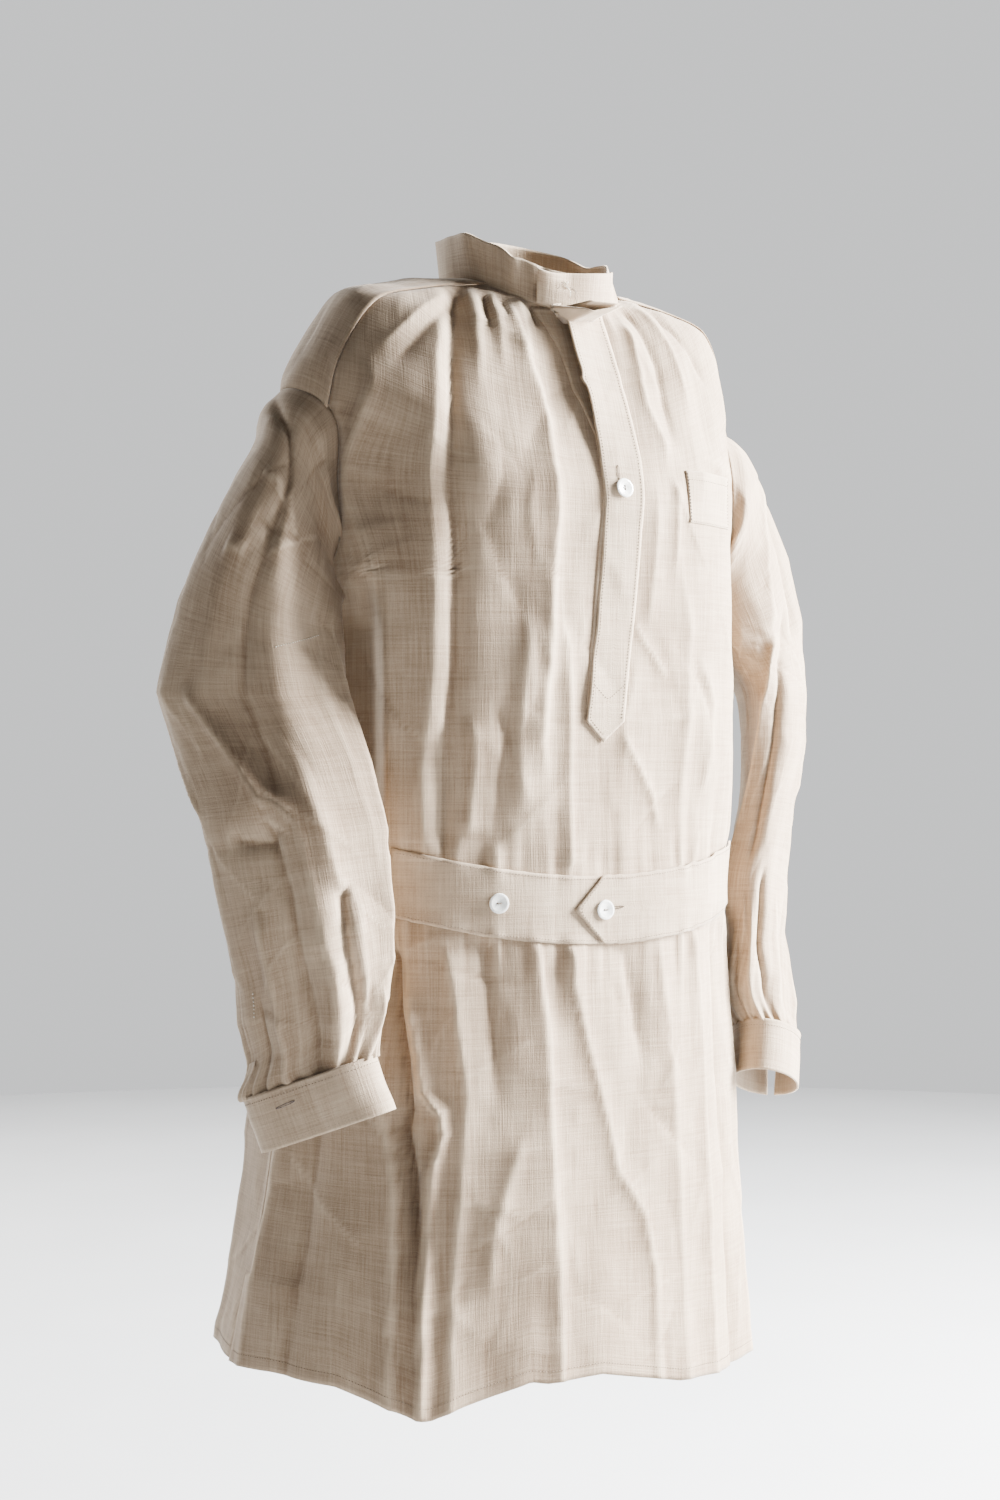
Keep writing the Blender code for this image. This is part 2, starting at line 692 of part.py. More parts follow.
def make_pivots():
    half_width, middle_x = BODY_RINGS[5][0], BODY_RINGS[5][7]
    armhole_top = ARMHOLE_CENTRE.z + ARMHOLE_RADIUS + 0.001
    for side, suffix in ((1, "left"), (-1, "right")):
        place = Vector((middle_x + side * (half_width + 0.0015), ARMHOLE_CENTRE.y, armhole_top))
        pieces = ("sleeve_" + suffix, "cuff_" + suffix, "sleeve_vent_facing_" + suffix)
        sleeve = make_pivot("sleeve axis " + suffix, place, pieces)
        make_button_pivot("cuff_button_" + suffix, sleeve)
    point, normal = surface_at(placket_x(PLACKET_SPLIT_Z, 1), PLACKET_SPLIT_Z)
    place = point + normal * (STRIP_LIFT + LAYER + GAP)
    make_pivot("placket axis", place, ("placket_over_flap", "collar_end"))
    make_button_pivot("placket_button")
    for name, x, lift in (
        ("belt_left", BELT_LEFT_ROOT_X, BELT_LIFT + LAYER + GAP), ("belt_right", BELT_RIGHT_ROOT_X, BELT_LIFT)
    ):
        point, normal = surface_at(x, belt_line(x))
        belt = make_pivot(name + " axis", point + normal * lift, (name,))
    for button in ("belt_tab_button", "belt_free_button"):
        make_button_pivot(button, belt)


clear_scene()
PIECES = new_collection("artist_smock")
CUTTERS = new_collection("cutters")
LINEN_CLOTH = make_material("linen cloth", LINEN, 0.92)
SHELL_BUTTON = make_material("mother of pearl", SHELL, 0.28)
SEWING_THREAD = make_material("sewing thread", THREAD, 0.80)

guide = as_cutter(body_form("body guide", CUTTERS))
FORM_TREE = BVHTree.FromPolygons(
    [v.co for v in guide.data.vertices], [tuple(p.vertices) for p in guide.data.polygons]
)

make_body_panels()
make_collar()
make_plackets()
make_pocket()
make_belt()
make_front_buttons()

sleeve_plug = as_cutter(body_form("sleeve plug", CUTTERS, capped=True))
flip_when_inside_out(sleeve_plug, Vector((0, 0, -0.5)))
swell = sleeve_plug.modifiers.new("Clearance", "DISPLACE")
swell.strength = GAP + 0.3e-3
swell.mid_level = 0.0
for side, suffix in ((1, "left"), (-1, "right")):
    make_sleeve(side, suffix, sleeve_plug)
    make_cuff(side, suffix)
    make_vent_facing(side, suffix)
    make_cuff_button(side, suffix)
make_pivots()
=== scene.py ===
import math

import bpy
import numpy as np
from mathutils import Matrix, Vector
from mathutils.bvhtree import BVHTree


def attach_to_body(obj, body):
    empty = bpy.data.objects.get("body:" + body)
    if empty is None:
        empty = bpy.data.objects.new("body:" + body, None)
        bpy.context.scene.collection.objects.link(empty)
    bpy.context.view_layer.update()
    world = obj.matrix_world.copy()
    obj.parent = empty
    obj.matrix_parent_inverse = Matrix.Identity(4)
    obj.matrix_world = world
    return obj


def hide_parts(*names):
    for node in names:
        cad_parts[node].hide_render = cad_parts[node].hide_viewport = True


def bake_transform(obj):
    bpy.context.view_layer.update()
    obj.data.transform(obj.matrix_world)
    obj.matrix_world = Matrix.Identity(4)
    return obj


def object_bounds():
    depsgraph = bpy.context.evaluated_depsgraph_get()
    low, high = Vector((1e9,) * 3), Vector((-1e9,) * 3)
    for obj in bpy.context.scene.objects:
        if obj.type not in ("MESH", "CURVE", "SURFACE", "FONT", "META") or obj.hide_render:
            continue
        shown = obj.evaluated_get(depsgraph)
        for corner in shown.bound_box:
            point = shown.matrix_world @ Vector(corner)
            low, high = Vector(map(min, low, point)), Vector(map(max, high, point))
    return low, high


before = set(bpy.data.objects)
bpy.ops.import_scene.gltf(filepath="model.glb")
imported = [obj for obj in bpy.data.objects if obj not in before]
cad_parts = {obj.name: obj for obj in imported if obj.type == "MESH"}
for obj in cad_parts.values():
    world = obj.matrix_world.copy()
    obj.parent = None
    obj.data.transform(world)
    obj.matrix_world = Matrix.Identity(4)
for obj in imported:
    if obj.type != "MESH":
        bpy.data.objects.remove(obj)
cad_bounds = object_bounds()
SIDES = ((1, "left"), (-1, "right"))

# ---------------------------------------------------------------------- the garment's forms

SIDE_SEAM_Y = 0.010
YOKE_HALF_DEPTH = 0.045
ARMHOLE_RADIUS = 0.085
ARMHOLE_Y, ARMHOLE_Z = 0.010, -0.200

# Half width, front depth, back depth, height at side, front and back, squareness, middle's x.
RINGS = np.array((
    (0.083, 0.088, 0.072, -0.002, -0.036, 0.018, 2.0, 0.000),
    (0.150, 0.098, 0.092, -0.010, -0.060, -0.016, 2.0, -0.001),
    (0.190, 0.110, 0.108, -0.022, -0.092, -0.056, 2.1, -0.005),
    (0.206, 0.125, 0.120, -0.060, -0.132, -0.108, 2.3, -0.009),
    (0.211, 0.1425, 0.128, -0.112, -0.180, -0.162, 2.5, -0.012),
    (0.213, 0.150, 0.130, -0.200, -0.215, -0.215, 2.6, -0.012),
    (0.213, 0.151, 0.130, -0.300, -0.300, -0.300, 2.6, -0.012),
    (0.213, 0.151, 0.128, -0.430, -0.430, -0.430, 2.6, -0.012),
    (0.213, 0.151, 0.126, -0.580, -0.580, -0.580, 2.6, -0.012),
    (0.218, 0.156, 0.132, -0.740, -0.740, -0.740, 2.6, -0.014),
    (0.228, 0.166, 0.142, -0.880, -0.880, -0.880, 2.6, -0.020),
    (0.245, 0.180, 0.152, -1.018, -1.018, -1.018, 2.6, -0.028),
))

# Centre, outer half axis, front half axis and turn in degrees, for a sleeve on the wearer's left.
SLEEVE = np.array((
    (0.140, 0.010, -0.200, 0.000, 0.000, 0.0845, 0.000, -0.0845, 0.000, 0),
    (0.222, 0.010, -0.204, 0.018, 0.000, 0.0825, 0.004, -0.0845, 0.000, 0),
    (0.250, 0.002, -0.240, 0.058, 0.004, 0.0620, 0.016, -0.0840, -0.010, 12),
    (0.280, -0.012, -0.305, 0.072, 0.040, 0.0260, 0.030, -0.0600, -0.012, 26),
    (0.298, -0.024, -0.390, 0.066, 0.068, 0.0000, 0.034, -0.0320, 0.000, 45),
    (0.294, -0.030, -0.500, 0.061, 0.064, -0.006, 0.031, -0.0300, 0.000, 45),
    (0.280, -0.032, -0.600, 0.060, 0.064, -0.016, 0.032, -0.0300, 0.000, 45),
    (0.264, -0.036, -0.680, 0.052, 0.055, -0.020, 0.028, -0.0270, 0.000, 45),
    (0.252, -0.040, -0.722, 0.039, 0.042, -0.0205, 0.022, -0.0205, 0.000, 45),
))
CUFF_TOP = np.array((0.2515, -0.0415, -0.7245, 0.0395, 0.0425, -0.0205, 0.022, -0.0205, 0.000, 45))
CUFF_AXIS = np.array((-0.2330, -0.2500, -0.9400)) / np.linalg.norm((-0.2330, -0.2500, -0.9400))
CUFF_HEIGHT = 0.046
# Each sleeve's drift from the mirrored table: height, x and y, from the cuff up.
DRIFT = {
    1: ((-0.722, 0.003, 0.0), (-0.390, 0.0, 0.0), (-0.240, -0.025, 0.0)),
    -1: (
        (-0.722, -0.024, -0.048), (-0.680, -0.017, -0.055), (-0.600, -0.007, -0.058),
        (-0.500, 0.000, -0.046), (-0.390, 0.002, -0.008), (-0.240, 0.000, 0.000),
    ),
}


def through(table, index):
    """Values on a smooth curve through a table's rows, at fractional row numbers."""
    step = np.diff(table, axis=0)
    slope = np.zeros_like(table)
    pair = step[:-1] * step[1:]
    total = np.where(step[:-1] + step[1:] == 0, 1, step[:-1] + step[1:])
    slope[1:-1] = np.where(pair > 0, 2 * pair / total, 0)
    slope[0], slope[-1] = step[0], step[-1]
    row = np.clip(np.floor(index).astype(int), 0, len(table) - 2)
    t = (index - row).reshape(-1, *[1] * (table.ndim - 1))
    return (
        (2 * t**3 - 3 * t**2 + 1) * table[row] + (t**3 - 2 * t**2 + t) * slope[row]
        + (3 * t**2 - 2 * t**3) * table[row + 1] + (t**3 - t**2) * slope[row + 1]
    )


def power(value, exponent):
    return np.sign(value) * np.abs(value) ** exponent


def body_points(index, turn):
    """Places on the body form, one row for each ring number; turn is from centre front to the left."""
    half, front, back, side_z, front_z, back_z, square, middle = through(RINGS, index).T[..., None]
    sin, cos = np.sin(turn), np.cos(turn)
    x = middle + half * power(sin, 2 / square)
    y = -np.where(cos > 0, front, back) * power(cos, 2 / square)
    z = side_z + (np.where(cos > 0, front_z, back_z) - side_z) * cos**2
    return np.stack((x, y, z), -1)


def seam_depth(z, face):
    """How deep a body panel reaches at a height: to its yoke, its armhole or its side seam."""
    rise = np.clip(ARMHOLE_RADIUS**2 - (z - ARMHOLE_Z) ** 2, 0, None) ** 0.5
    armhole = ARMHOLE_Y + face * rise
    yoke = face * YOKE_HALF_DEPTH
    edge = np.where(z > ARMHOLE_Z, yoke, SIDE_SEAM_Y)
    return np.where(face * armhole > face * edge, armhole, edge)


def panel_grid(index, shares, face):
    """A body panel's points and their distance round from its centre line; face is -1 for the front."""
    turn = np.linspace(-1.8, 1.8, 1441) + (0 if face < 0 else math.pi)
    if face > 0:
        turn = turn[::-1]
    fine = body_points(index, turn)
    points, places = [], []
    for row in fine:
        arc = np.concatenate(([0], np.cumsum(np.linalg.norm(np.diff(row, axis=0), axis=1))))
        arc -= arc[len(arc) // 2]
        within = face * (row[:, 1] - seam_depth(row[:, 2], face))
        ends = []
        centre = len(arc) // 2
        for half in (np.arange(centre, -1, -1), np.arange(centre, len(arc))):
            out = np.argmax(within[half] < 0)
            a, b = half[out - 1], half[out]
            share = within[a] / (within[a] - within[b])
            ends.append(arc[a] + share * (arc[b] - arc[a]))
        place = np.where(shares < 0, -shares * ends[0], shares * ends[1])
        points.append(np.stack([np.interp(place, arc, row[:, k]) for k in range(3)], -1))
        places.append(place)
    return np.array(points), np.array(places)


def line_at_depth(index, y, side):
    """The body form's x and z at each ring number, where its side crosses the depth y."""
    half, front, back, side_z, front_z, back_z, square, middle = through(RINGS, index).T
    depth, end_z = (front, front_z) if y < 0 else (back, back_z)
    cos = np.clip(abs(y) / depth, 0, 1) ** (square / 2)
    x = middle + side * half * (1 - cos**2) ** (1 / square)
    return x, side_z + (end_z - side_z) * cos**2


def yoke_grid(side, across, count):
    """A shoulder yoke's points: one row for each depth in across, from the neck to the armhole."""
    index = np.linspace(0, 5, 501)
    rows = []
    for y in across:
        x, z = line_at_depth(index, y, side)
        line = np.stack((x, np.full_like(x, y), z), -1)
        top = ARMHOLE_Z + (ARMHOLE_RADIUS**2 - (y - ARMHOLE_Y) ** 2) ** 0.5
        last = np.interp(-top, -z, index)
        arc = np.concatenate(([0], np.cumsum(np.linalg.norm(np.diff(line, axis=0), axis=1))))
        place = np.linspace(0, np.interp(last, index, arc), count)
        rows.append(np.stack([np.interp(place, arc, line[:, k]) for k in range(3)], -1))
    return np.array(rows)


def armhole_ring(angles, side):
    """Where a sleeve is sewn in, on the body form; the angle runs from the top to the front."""
    y = ARMHOLE_Y - ARMHOLE_RADIUS * np.sin(angles)
    z = ARMHOLE_Z + ARMHOLE_RADIUS * np.cos(angles)
    index = np.linspace(2.0, 7.0, 1001)
    ring = []
    for depth, height in zip(y, z):
        x, level = line_at_depth(index, depth, side)
        ring.append((np.interp(-height, -level, x), depth, height))
    return np.array(ring)


def drifted(points, level, side):
    """The points, moved by their sleeve's drift at this level."""
    heights, *moves = zip(*DRIFT[side])
    for axis, move in enumerate(moves):
        points[..., axis] += np.interp(level, heights, move)
    return points


def section(table, angles, side):
    """Points round the sections of a sleeve, one row for each row of the table."""
    around = angles + np.radians(table[:, 9:10])
    points = (
        table[:, None, :3] + table[:, None, 3:6] * np.cos(around)[..., None]
        + table[:, None, 6:9] * np.sin(around)[..., None]
    )
    points[..., 0] *= side
    return drifted(points, table[:, 2:3], side)


def sleeve_grid(index, angles, side):
    """A sleeve's points from its armhole seam to the cuff, one row for each section number."""
    rows = section(SLEEVE, angles, side)
    rows[0] = armhole_ring(angles, side)
    # The seam lies between the first two sections, so the second moves on a little from it.
    rows[1] = 0.5 * rows[1] + 0.25 * rows[0] + 0.25 * rows[2]
    return through(rows, index)


# ------------------------------------------------------------------------------- mesh tools


def smooth(low, high, value):
    t = np.clip((value - low) / (high - low), 0, 1)
    return t * t * (3 - 2 * t)


def grid_normals(points, wrapped=False):
    """Unit normals of a grid of points, by rows and columns."""
    if wrapped:
        across = np.roll(points, -1, 1) - np.roll(points, 1, 1)
    else:
        across = np.gradient(points, axis=1)
    normal = np.cross(across, np.gradient(points, axis=0))
    return normal / np.maximum(np.linalg.norm(normal, axis=-1, keepdims=True), 1e-12)


def outward(points, normals, middle):
    """The normals, turned to look away from a point if they look towards it."""
    return normals if ((points - middle) * normals).sum() > 0 else -normals


def make_mesh(name, points, faces, uvs=None, material=None, smooth_shade=True):
    mesh = bpy.data.meshes.new(name)
    mesh.from_pydata([tuple(p) for p in points], [], [tuple(f) for f in faces])
    if uvs is not None:
        layer = mesh.uv_layers.new(name="cloth")
        corners = np.empty(len(mesh.loops), np.int32)
        mesh.loops.foreach_get("vertex_index", corners)
        layer.data.foreach_set("uv", np.asarray(uvs, np.float32)[corners].reshape(-1))
    if smooth_shade:
        mesh.shade_smooth()
    if material:
        mesh.materials.append(material)
    thing = bpy.data.objects.new(name, mesh)
    bpy.context.scene.collection.objects.link(thing)
    return thing


def grid_faces(rows, columns, wrapped=False):
    index = np.arange(rows * columns).reshape(rows, columns)
    right = np.roll(index, -1, 1)
    a, b, c, d = index[:-1], right[:-1], right[1:], index[1:]
    if not wrapped:
        a, b, c, d = a[:, :-1], b[:, :-1], c[:, :-1], d[:, :-1]
    return np.stack((a, b, c, d), -1).reshape(-1, 4)


def cloth(name, points, places, material, thickness=0.0008, wrapped=False, inside=None):
    """A piece of cloth from a grid of points; places are the flat positions, in metres.

    Its faces look away from the point inside it, which is the grid's own middle unless it is given.
    """
    faces = grid_faces(*points.shape[:2], wrapped)
    spots = points.reshape(-1, 3)
    middle = spots.mean(0) if inside is None else inside
    corner = spots[faces[len(faces) // 2]]
    facing = np.cross(corner[1] - corner[0], corner[2] - corner[0])
    if facing @ (corner.mean(0) - middle) < 0:
        faces = faces[:, ::-1]
    thing = make_mesh(name, spots, faces, places.reshape(-1, 2), material)
    shell = thing.modifiers.new("Thickness", "SOLIDIFY")
    shell.thickness = thickness
    shell.offset = -1.0
    return thing


# The photograph looks at the garment from 32 degrees towards its right. These two level directions
# are square to that view, from the garment's right to its left, and towards the camera.
ACROSS = np.array((0.848, -0.530, 0.0))
TOWARDS_CAMERA = np.array((-0.530, -0.848, 0.0))
HOLLOW_DEPTH = 0.045
SHOULDER_PLACE, SHOULDER_REACH, SHOULDER_MOVE = (-0.2265, 0.010, -0.114), 0.062, 0.027
ARMHOLE_FRONT, ARMHOLE_REACH, ARMHOLE_MOVE = (-0.208, -0.072, -0.200), 0.058, (-0.014, 0.034, 0.0)
RIGHT_SWING, LEFT_SWING = -0.026, -0.011


def settle(points, hollow=False):
    """The same small moves for every panel, so that the seams stay together.

    The right shoulder drops, the right armhole's front is drawn back, and the skirt swings to the
    right. With hollow, the front's right edge sinks in beside the sleeve.
    """
    points = points.copy()
    if hollow:
        across, z = points @ ACROSS, points[..., 2]
        sunk = smooth(-0.122, -0.140, across) * smooth(-0.275, -0.335, z) * smooth(-0.525, -0.475, z)
        depth = HOLLOW_DEPTH * sunk * smooth(-0.02, 0.03, points @ TOWARDS_CAMERA)
        points -= depth[..., None] * TOWARDS_CAMERA
    away = np.linalg.norm(points - SHOULDER_PLACE, axis=-1)
    points[..., 0] -= SHOULDER_MOVE * np.exp(-(away / SHOULDER_REACH) ** 2)
    away = np.linalg.norm(points - ARMHOLE_FRONT, axis=-1)
    points += np.exp(-(away / ARMHOLE_REACH) ** 2)[..., None] * ARMHOLE_MOVE
    across, z = points @ ACROSS, points[..., 2]
    swing = RIGHT_SWING * smooth(-0.12, -0.225, across) * smooth(-0.52, -0.70, z)
    swing = swing + LEFT_SWING * smooth(0.11, 0.20, across) * smooth(-0.44, -0.58, z)
    return points + swing[..., None] * ACROSS


def attach(thing, body, blend=None):
    """The piece rides on its body; where a blend (body, body, start, end) is given, its place is baked into
    its mesh instead.
    """
    if blend:
        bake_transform(thing)
    else:
        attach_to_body(thing, body)


def relax(points, rounds):
    """The grid with each inner point moved to the middle of its neighbours."""
    for _ in range(rounds):
        inner = 0.25 * (points[2:, 1:-1] + points[:-2, 1:-1] + points[1:-1, 2:] + points[1:-1, :-2])
        points = points.copy()
        points[1:-1, 1:-1] = 0.5 * points[1:-1, 1:-1] + 0.5 * inner
    return points


# ------------------------------------------------------------------------------ fold fields


def distance_to(line, u, v):
    """Signed distance from a line of (u, v) points, positive on its +u side, and share of its length."""
    line = np.asarray(line, float)
    lengths = np.linalg.norm(np.diff(line, axis=0), axis=1)
    starts = np.concatenate(([0], np.cumsum(lengths)))
    best = np.full(u.shape, 1e9)
    signed = np.zeros(u.shape)
    share = np.zeros(u.shape)
    for (a, b, length, start) in zip(line[:-1], line[1:], lengths, starts):
        du, dv = (b - a) / length
        along = (u - a[0]) * du + (v - a[1]) * dv
        inside = np.clip(along, 0, length)
        far = np.hypot(u - a[0] - inside * du, v - a[1] - inside * dv)
        side = np.where((u - a[0]) * dv - (v - a[1]) * du > 0, -1.0, 1.0)
        nearer = far < best
        best = np.where(nearer, far, best)
        signed = np.where(nearer, side * far, signed)
        share = np.where(nearer, (start + inside) / starts[-1], share)
    return signed, share


def fold(line, height, left, right, u, v, fade):
    """A fold along a line, drawn downwards: a ridge, or a valley where the height is negative.

    left and right are its reach on each side, and fade is the share of its length that each end
    takes to rise.
    """
    line = np.asarray(line, float)
    reach = 4.5 * max(left, right)
    near = (
        (u > line[:, 0].min() - reach) & (u < line[:, 0].max() + reach)
        & (v > line[:, 1].min() - reach) & (v < line[:, 1].max() + reach)
    )
    out = np.zeros(u.shape)
    if not near.any():
        return out
    d, share = distance_to(line, u[near], v[near])
    width = np.where(d < 0, left, right)
    ends = 1.0
    if fade[0]:
        ends = ends * smooth(-0.02, fade[0], share)
    if fade[1]:
        ends = ends * smooth(1.02, 1 - fade[1], share)
    rounding = 0.12 * width
    fall = np.exp(-(np.sqrt(d * d + rounding**2) - rounding) / width)
    out[near] = height * fall * ends
    return out


class Noise:
    """Smooth seeded noise over a plane, in about -1 to 1."""

    def __init__(self, seed):
        self.table = np.random.default_rng(seed).uniform(-1, 1, (64, 64))

    def __call__(self, u, v):
        iu, iv = np.floor(u).astype(int), np.floor(v).astype(int)
        fu, fv = u - iu, v - iv
        fu, fv = fu * fu * (3 - 2 * fu), fv * fv * (3 - 2 * fv)
        t = self.table
        a, b = t[iu % 64, iv % 64], t[(iu + 1) % 64, iv % 64]
        c, d = t[iu % 64, (iv + 1) % 64], t[(iu + 1) % 64, (iv + 1) % 64]
        return (a * (1 - fu) + b * fu) * (1 - fv) + (c * (1 - fu) + d * fu) * fv


def soft_waves(u, v, seed, sizes):
    """Gentle unevenness: noise at several sizes, each (across, along, height)."""
    total = np.zeros(u.shape)
    for i, (across, along, height) in enumerate(sizes):
        noise = Noise(seed + i)
        warp = 0.35 * noise(u / across * 0.5 + 9.1, v / along * 0.5 + 3.7)
        total += height * noise(u / across + warp, v / along + warp)
    return total


def creases(u, v, seed, count, size, height, upright=0.0):
    """Crisp creases left from folding and wear: short straight ridges in broken directions."""
    draw = np.random.default_rng(seed)
    total = np.zeros(u.shape)
    low_u, high_u, low_v, high_v = u.min(), u.max(), v.min(), v.max()
    for _ in range(count):
        cu, cv = draw.uniform(low_u, high_u), draw.uniform(low_v, high_v)
        turn = draw.normal(math.pi / 2, 0.5) if draw.random() < upright else draw.uniform(0, math.pi)
        length = size * draw.uniform(0.5, 1.6)
        rise = height * draw.uniform(0.4, 1.0) * (1 if draw.random() < 0.6 else -1)
        wide = draw.uniform(0.003, 0.009)
        bend = draw.normal(0, 0.25)
        near = (np.abs(u - cu) < length) & (np.abs(v - cv) < length)
        if not near.any():
            continue
        x, y = u[near] - cu, v[near] - cv
        along = x * math.cos(turn) + y * math.sin(turn)
        off = -x * math.sin(turn) + y * math.cos(turn) + bend * along**2 / length
        ends = np.clip(1 - (along / (0.5 * length)) ** 2, 0, 1)
        slope = np.where(off > 0, 1.0, 2.6)
        total[near] += rise * ends * np.exp(-np.abs(off) / (wide * slope))
    return total


# --------------------------------------------------------------------------------- materials


def feed(node, inputs):
    """Sets a shader node's inputs: a socket is linked, and any other value is stored."""
    for name, value in inputs.items():
        if isinstance(value, bpy.types.NodeSocket):
            node.id_data.links.new(value, node.inputs[name])
        else:
            node.inputs[name].default_value = value
    return node


def add(tree, kind, inputs, **settings):
    node = tree.nodes.new("ShaderNode" + kind)
    for name, value in settings.items():
        setattr(node, name, value)
    return feed(node, inputs)


def shaded(name):
    """A new material with its node tree and its shader."""
    material = bpy.data.materials.new(name)
    material.use_nodes = True
    return material, material.node_tree, material.node_tree.nodes["Principled BSDF"]


def finish_material(tree, shader, tone, tone_low, tone_high, dark, light, relief, strength, depth):
    """The last steps of a material: its tone picks a colour, and its relief bends the light."""
    ramp = add(tree, "MapRange", {"From Min": tone_low, "From Max": tone_high, "Value": tone})
    ends = {"A": (*dark, 1), "B": (*light, 1), "Factor": ramp.outputs["Result"]}
    mix = add(tree, "Mix", ends, data_type="RGBA")
    bump = add(tree, "Bump", {"Strength": strength, "Distance": depth, "Height": relief})
    feed(shader, {"Base Color": mix.outputs["Result"], "Normal": bump.outputs["Normal"]})


def linen(name, dark, light):
    """Plain-woven linen: uneven warp and weft threads, slubs, soft mottling, paler worn edges and crests,
    and painted shade in the hollows of creases.
    """
    material, tree, shader = shaded(name)
    place = add(tree, "UVMap", {}, uv_map="cloth")

    def stretched(across, down, detail, rough=0.6, spot=0.0):
        """Noise with its own number of cells to the metre across and down the cloth."""
        moved = {"Scale": (across, down, 1), "Location": (spot, spot * 0.7, spot * 1.3)}
        mapping = add(tree, "Mapping", {**moved, "Vector": place.outputs["UV"]})
        look = {"Scale": 1.0, "Detail": detail, "Roughness": rough, "Vector": mapping.outputs["Vector"]}
        return add(tree, "TexNoise", look).outputs["Fac"]

    def sums(*terms):
        """The weighted sum of some values."""
        total = 0.0
        for value, weight in terms:
            total = add(tree, "Math", {0: value, 1: weight, 2: total}, operation="MULTIPLY_ADD").outputs[0]
        return total

    warp = stretched(780, 26, 2.0)
    weft = stretched(26, 780, 2.0, spot=4.1)
    slub = stretched(300, 9, 3.0, 0.7, 8.3)
    cross = stretched(9, 300, 3.0, 0.7, 2.9)
    mottle = stretched(16, 12, 4.0, 0.55, 6.6)
    grain = stretched(900, 900, 1.0, 0.5, 1.7)
    # The per-point tone: real wear on edges and crests, and painted shade darkening the hollows of creases.
    wear_and_shade = add(tree, "Attribute", {}, attribute_name="wear_and_shade").outputs["Fac"]
    weights = (0.55, 0.50, 0.60, 0.40, 0.75, 0.35)
    tone = sums(*zip((warp, weft, slub, cross, mottle, grain), weights), (wear_and_shade, 0.9))
    relief = sums((warp, 0.8), (weft, 0.8), (slub, 0.7), (cross, 0.5), (grain, 0.4))
    middle, spread = 0.5 * sum(weights), 0.42
    finish_material(tree, shader, tone, middle - spread, middle + spread, dark, light, relief, 0.55, 0.0006)
    feed(shader, {"Roughness": 0.86, "Specular IOR Level": 0.22, "Sheen Weight": 0.18,
                  "Sheen Roughness": 0.45, "Sheen Tint": (1.0, 0.96, 0.9, 1)})
    return material


LINEN = linen("linen", (0.170, 0.112, 0.069), (0.375, 0.288, 0.200))
LINEN_STRIP = linen("linen strip", (0.20, 0.137, 0.087), (0.405, 0.318, 0.226))


# A per-point tone for the linen: real wear and uneven tone, and, from the fold curvature, painted shade in
# crease hollows.
def set_wear_and_shade(thing, values):
    attribute = thing.data.attributes.new("wear_and_shade", "FLOAT", "POINT")
    attribute.data.foreach_set("value", np.clip(values, -0.5, 0.5).astype(np.float32).reshape(-1))


def crease_wear_and_shade(lift, spacing):
    """Paler on the crest of a crease, as worn, and darker in its hollow as painted shade, from a grid of
    heights.
    """
    bend = np.zeros(lift.shape)
    bend[1:-1, 1:-1] = (
        4 * lift[1:-1, 1:-1] - lift[2:, 1:-1] - lift[:-2, 1:-1] - lift[1:-1, 2:] - lift[1:-1, :-2]
    )
    return np.clip(bend / spacing * 0.55, -0.22, 0.30)


# ------------------------------------------------------------------------------- body panels

BELT_SAG, BELT_MIDDLE_Z, BELT_HALF = 0.026, -0.583, 0.0305


def belt_line(x):
    return BELT_MIDDLE_Z + BELT_SAG * ((x + 0.012) / 0.184) ** 2


# The fold tables' heights and reaches are made this much stronger and narrower.
PANEL_RISE, PANEL_REACH = 1.15, 0.72
SLEEVE_RISE, SLEEVE_REACH = 1.3, 0.7
HEM_Z, VENT_Z = -1.018, -0.93

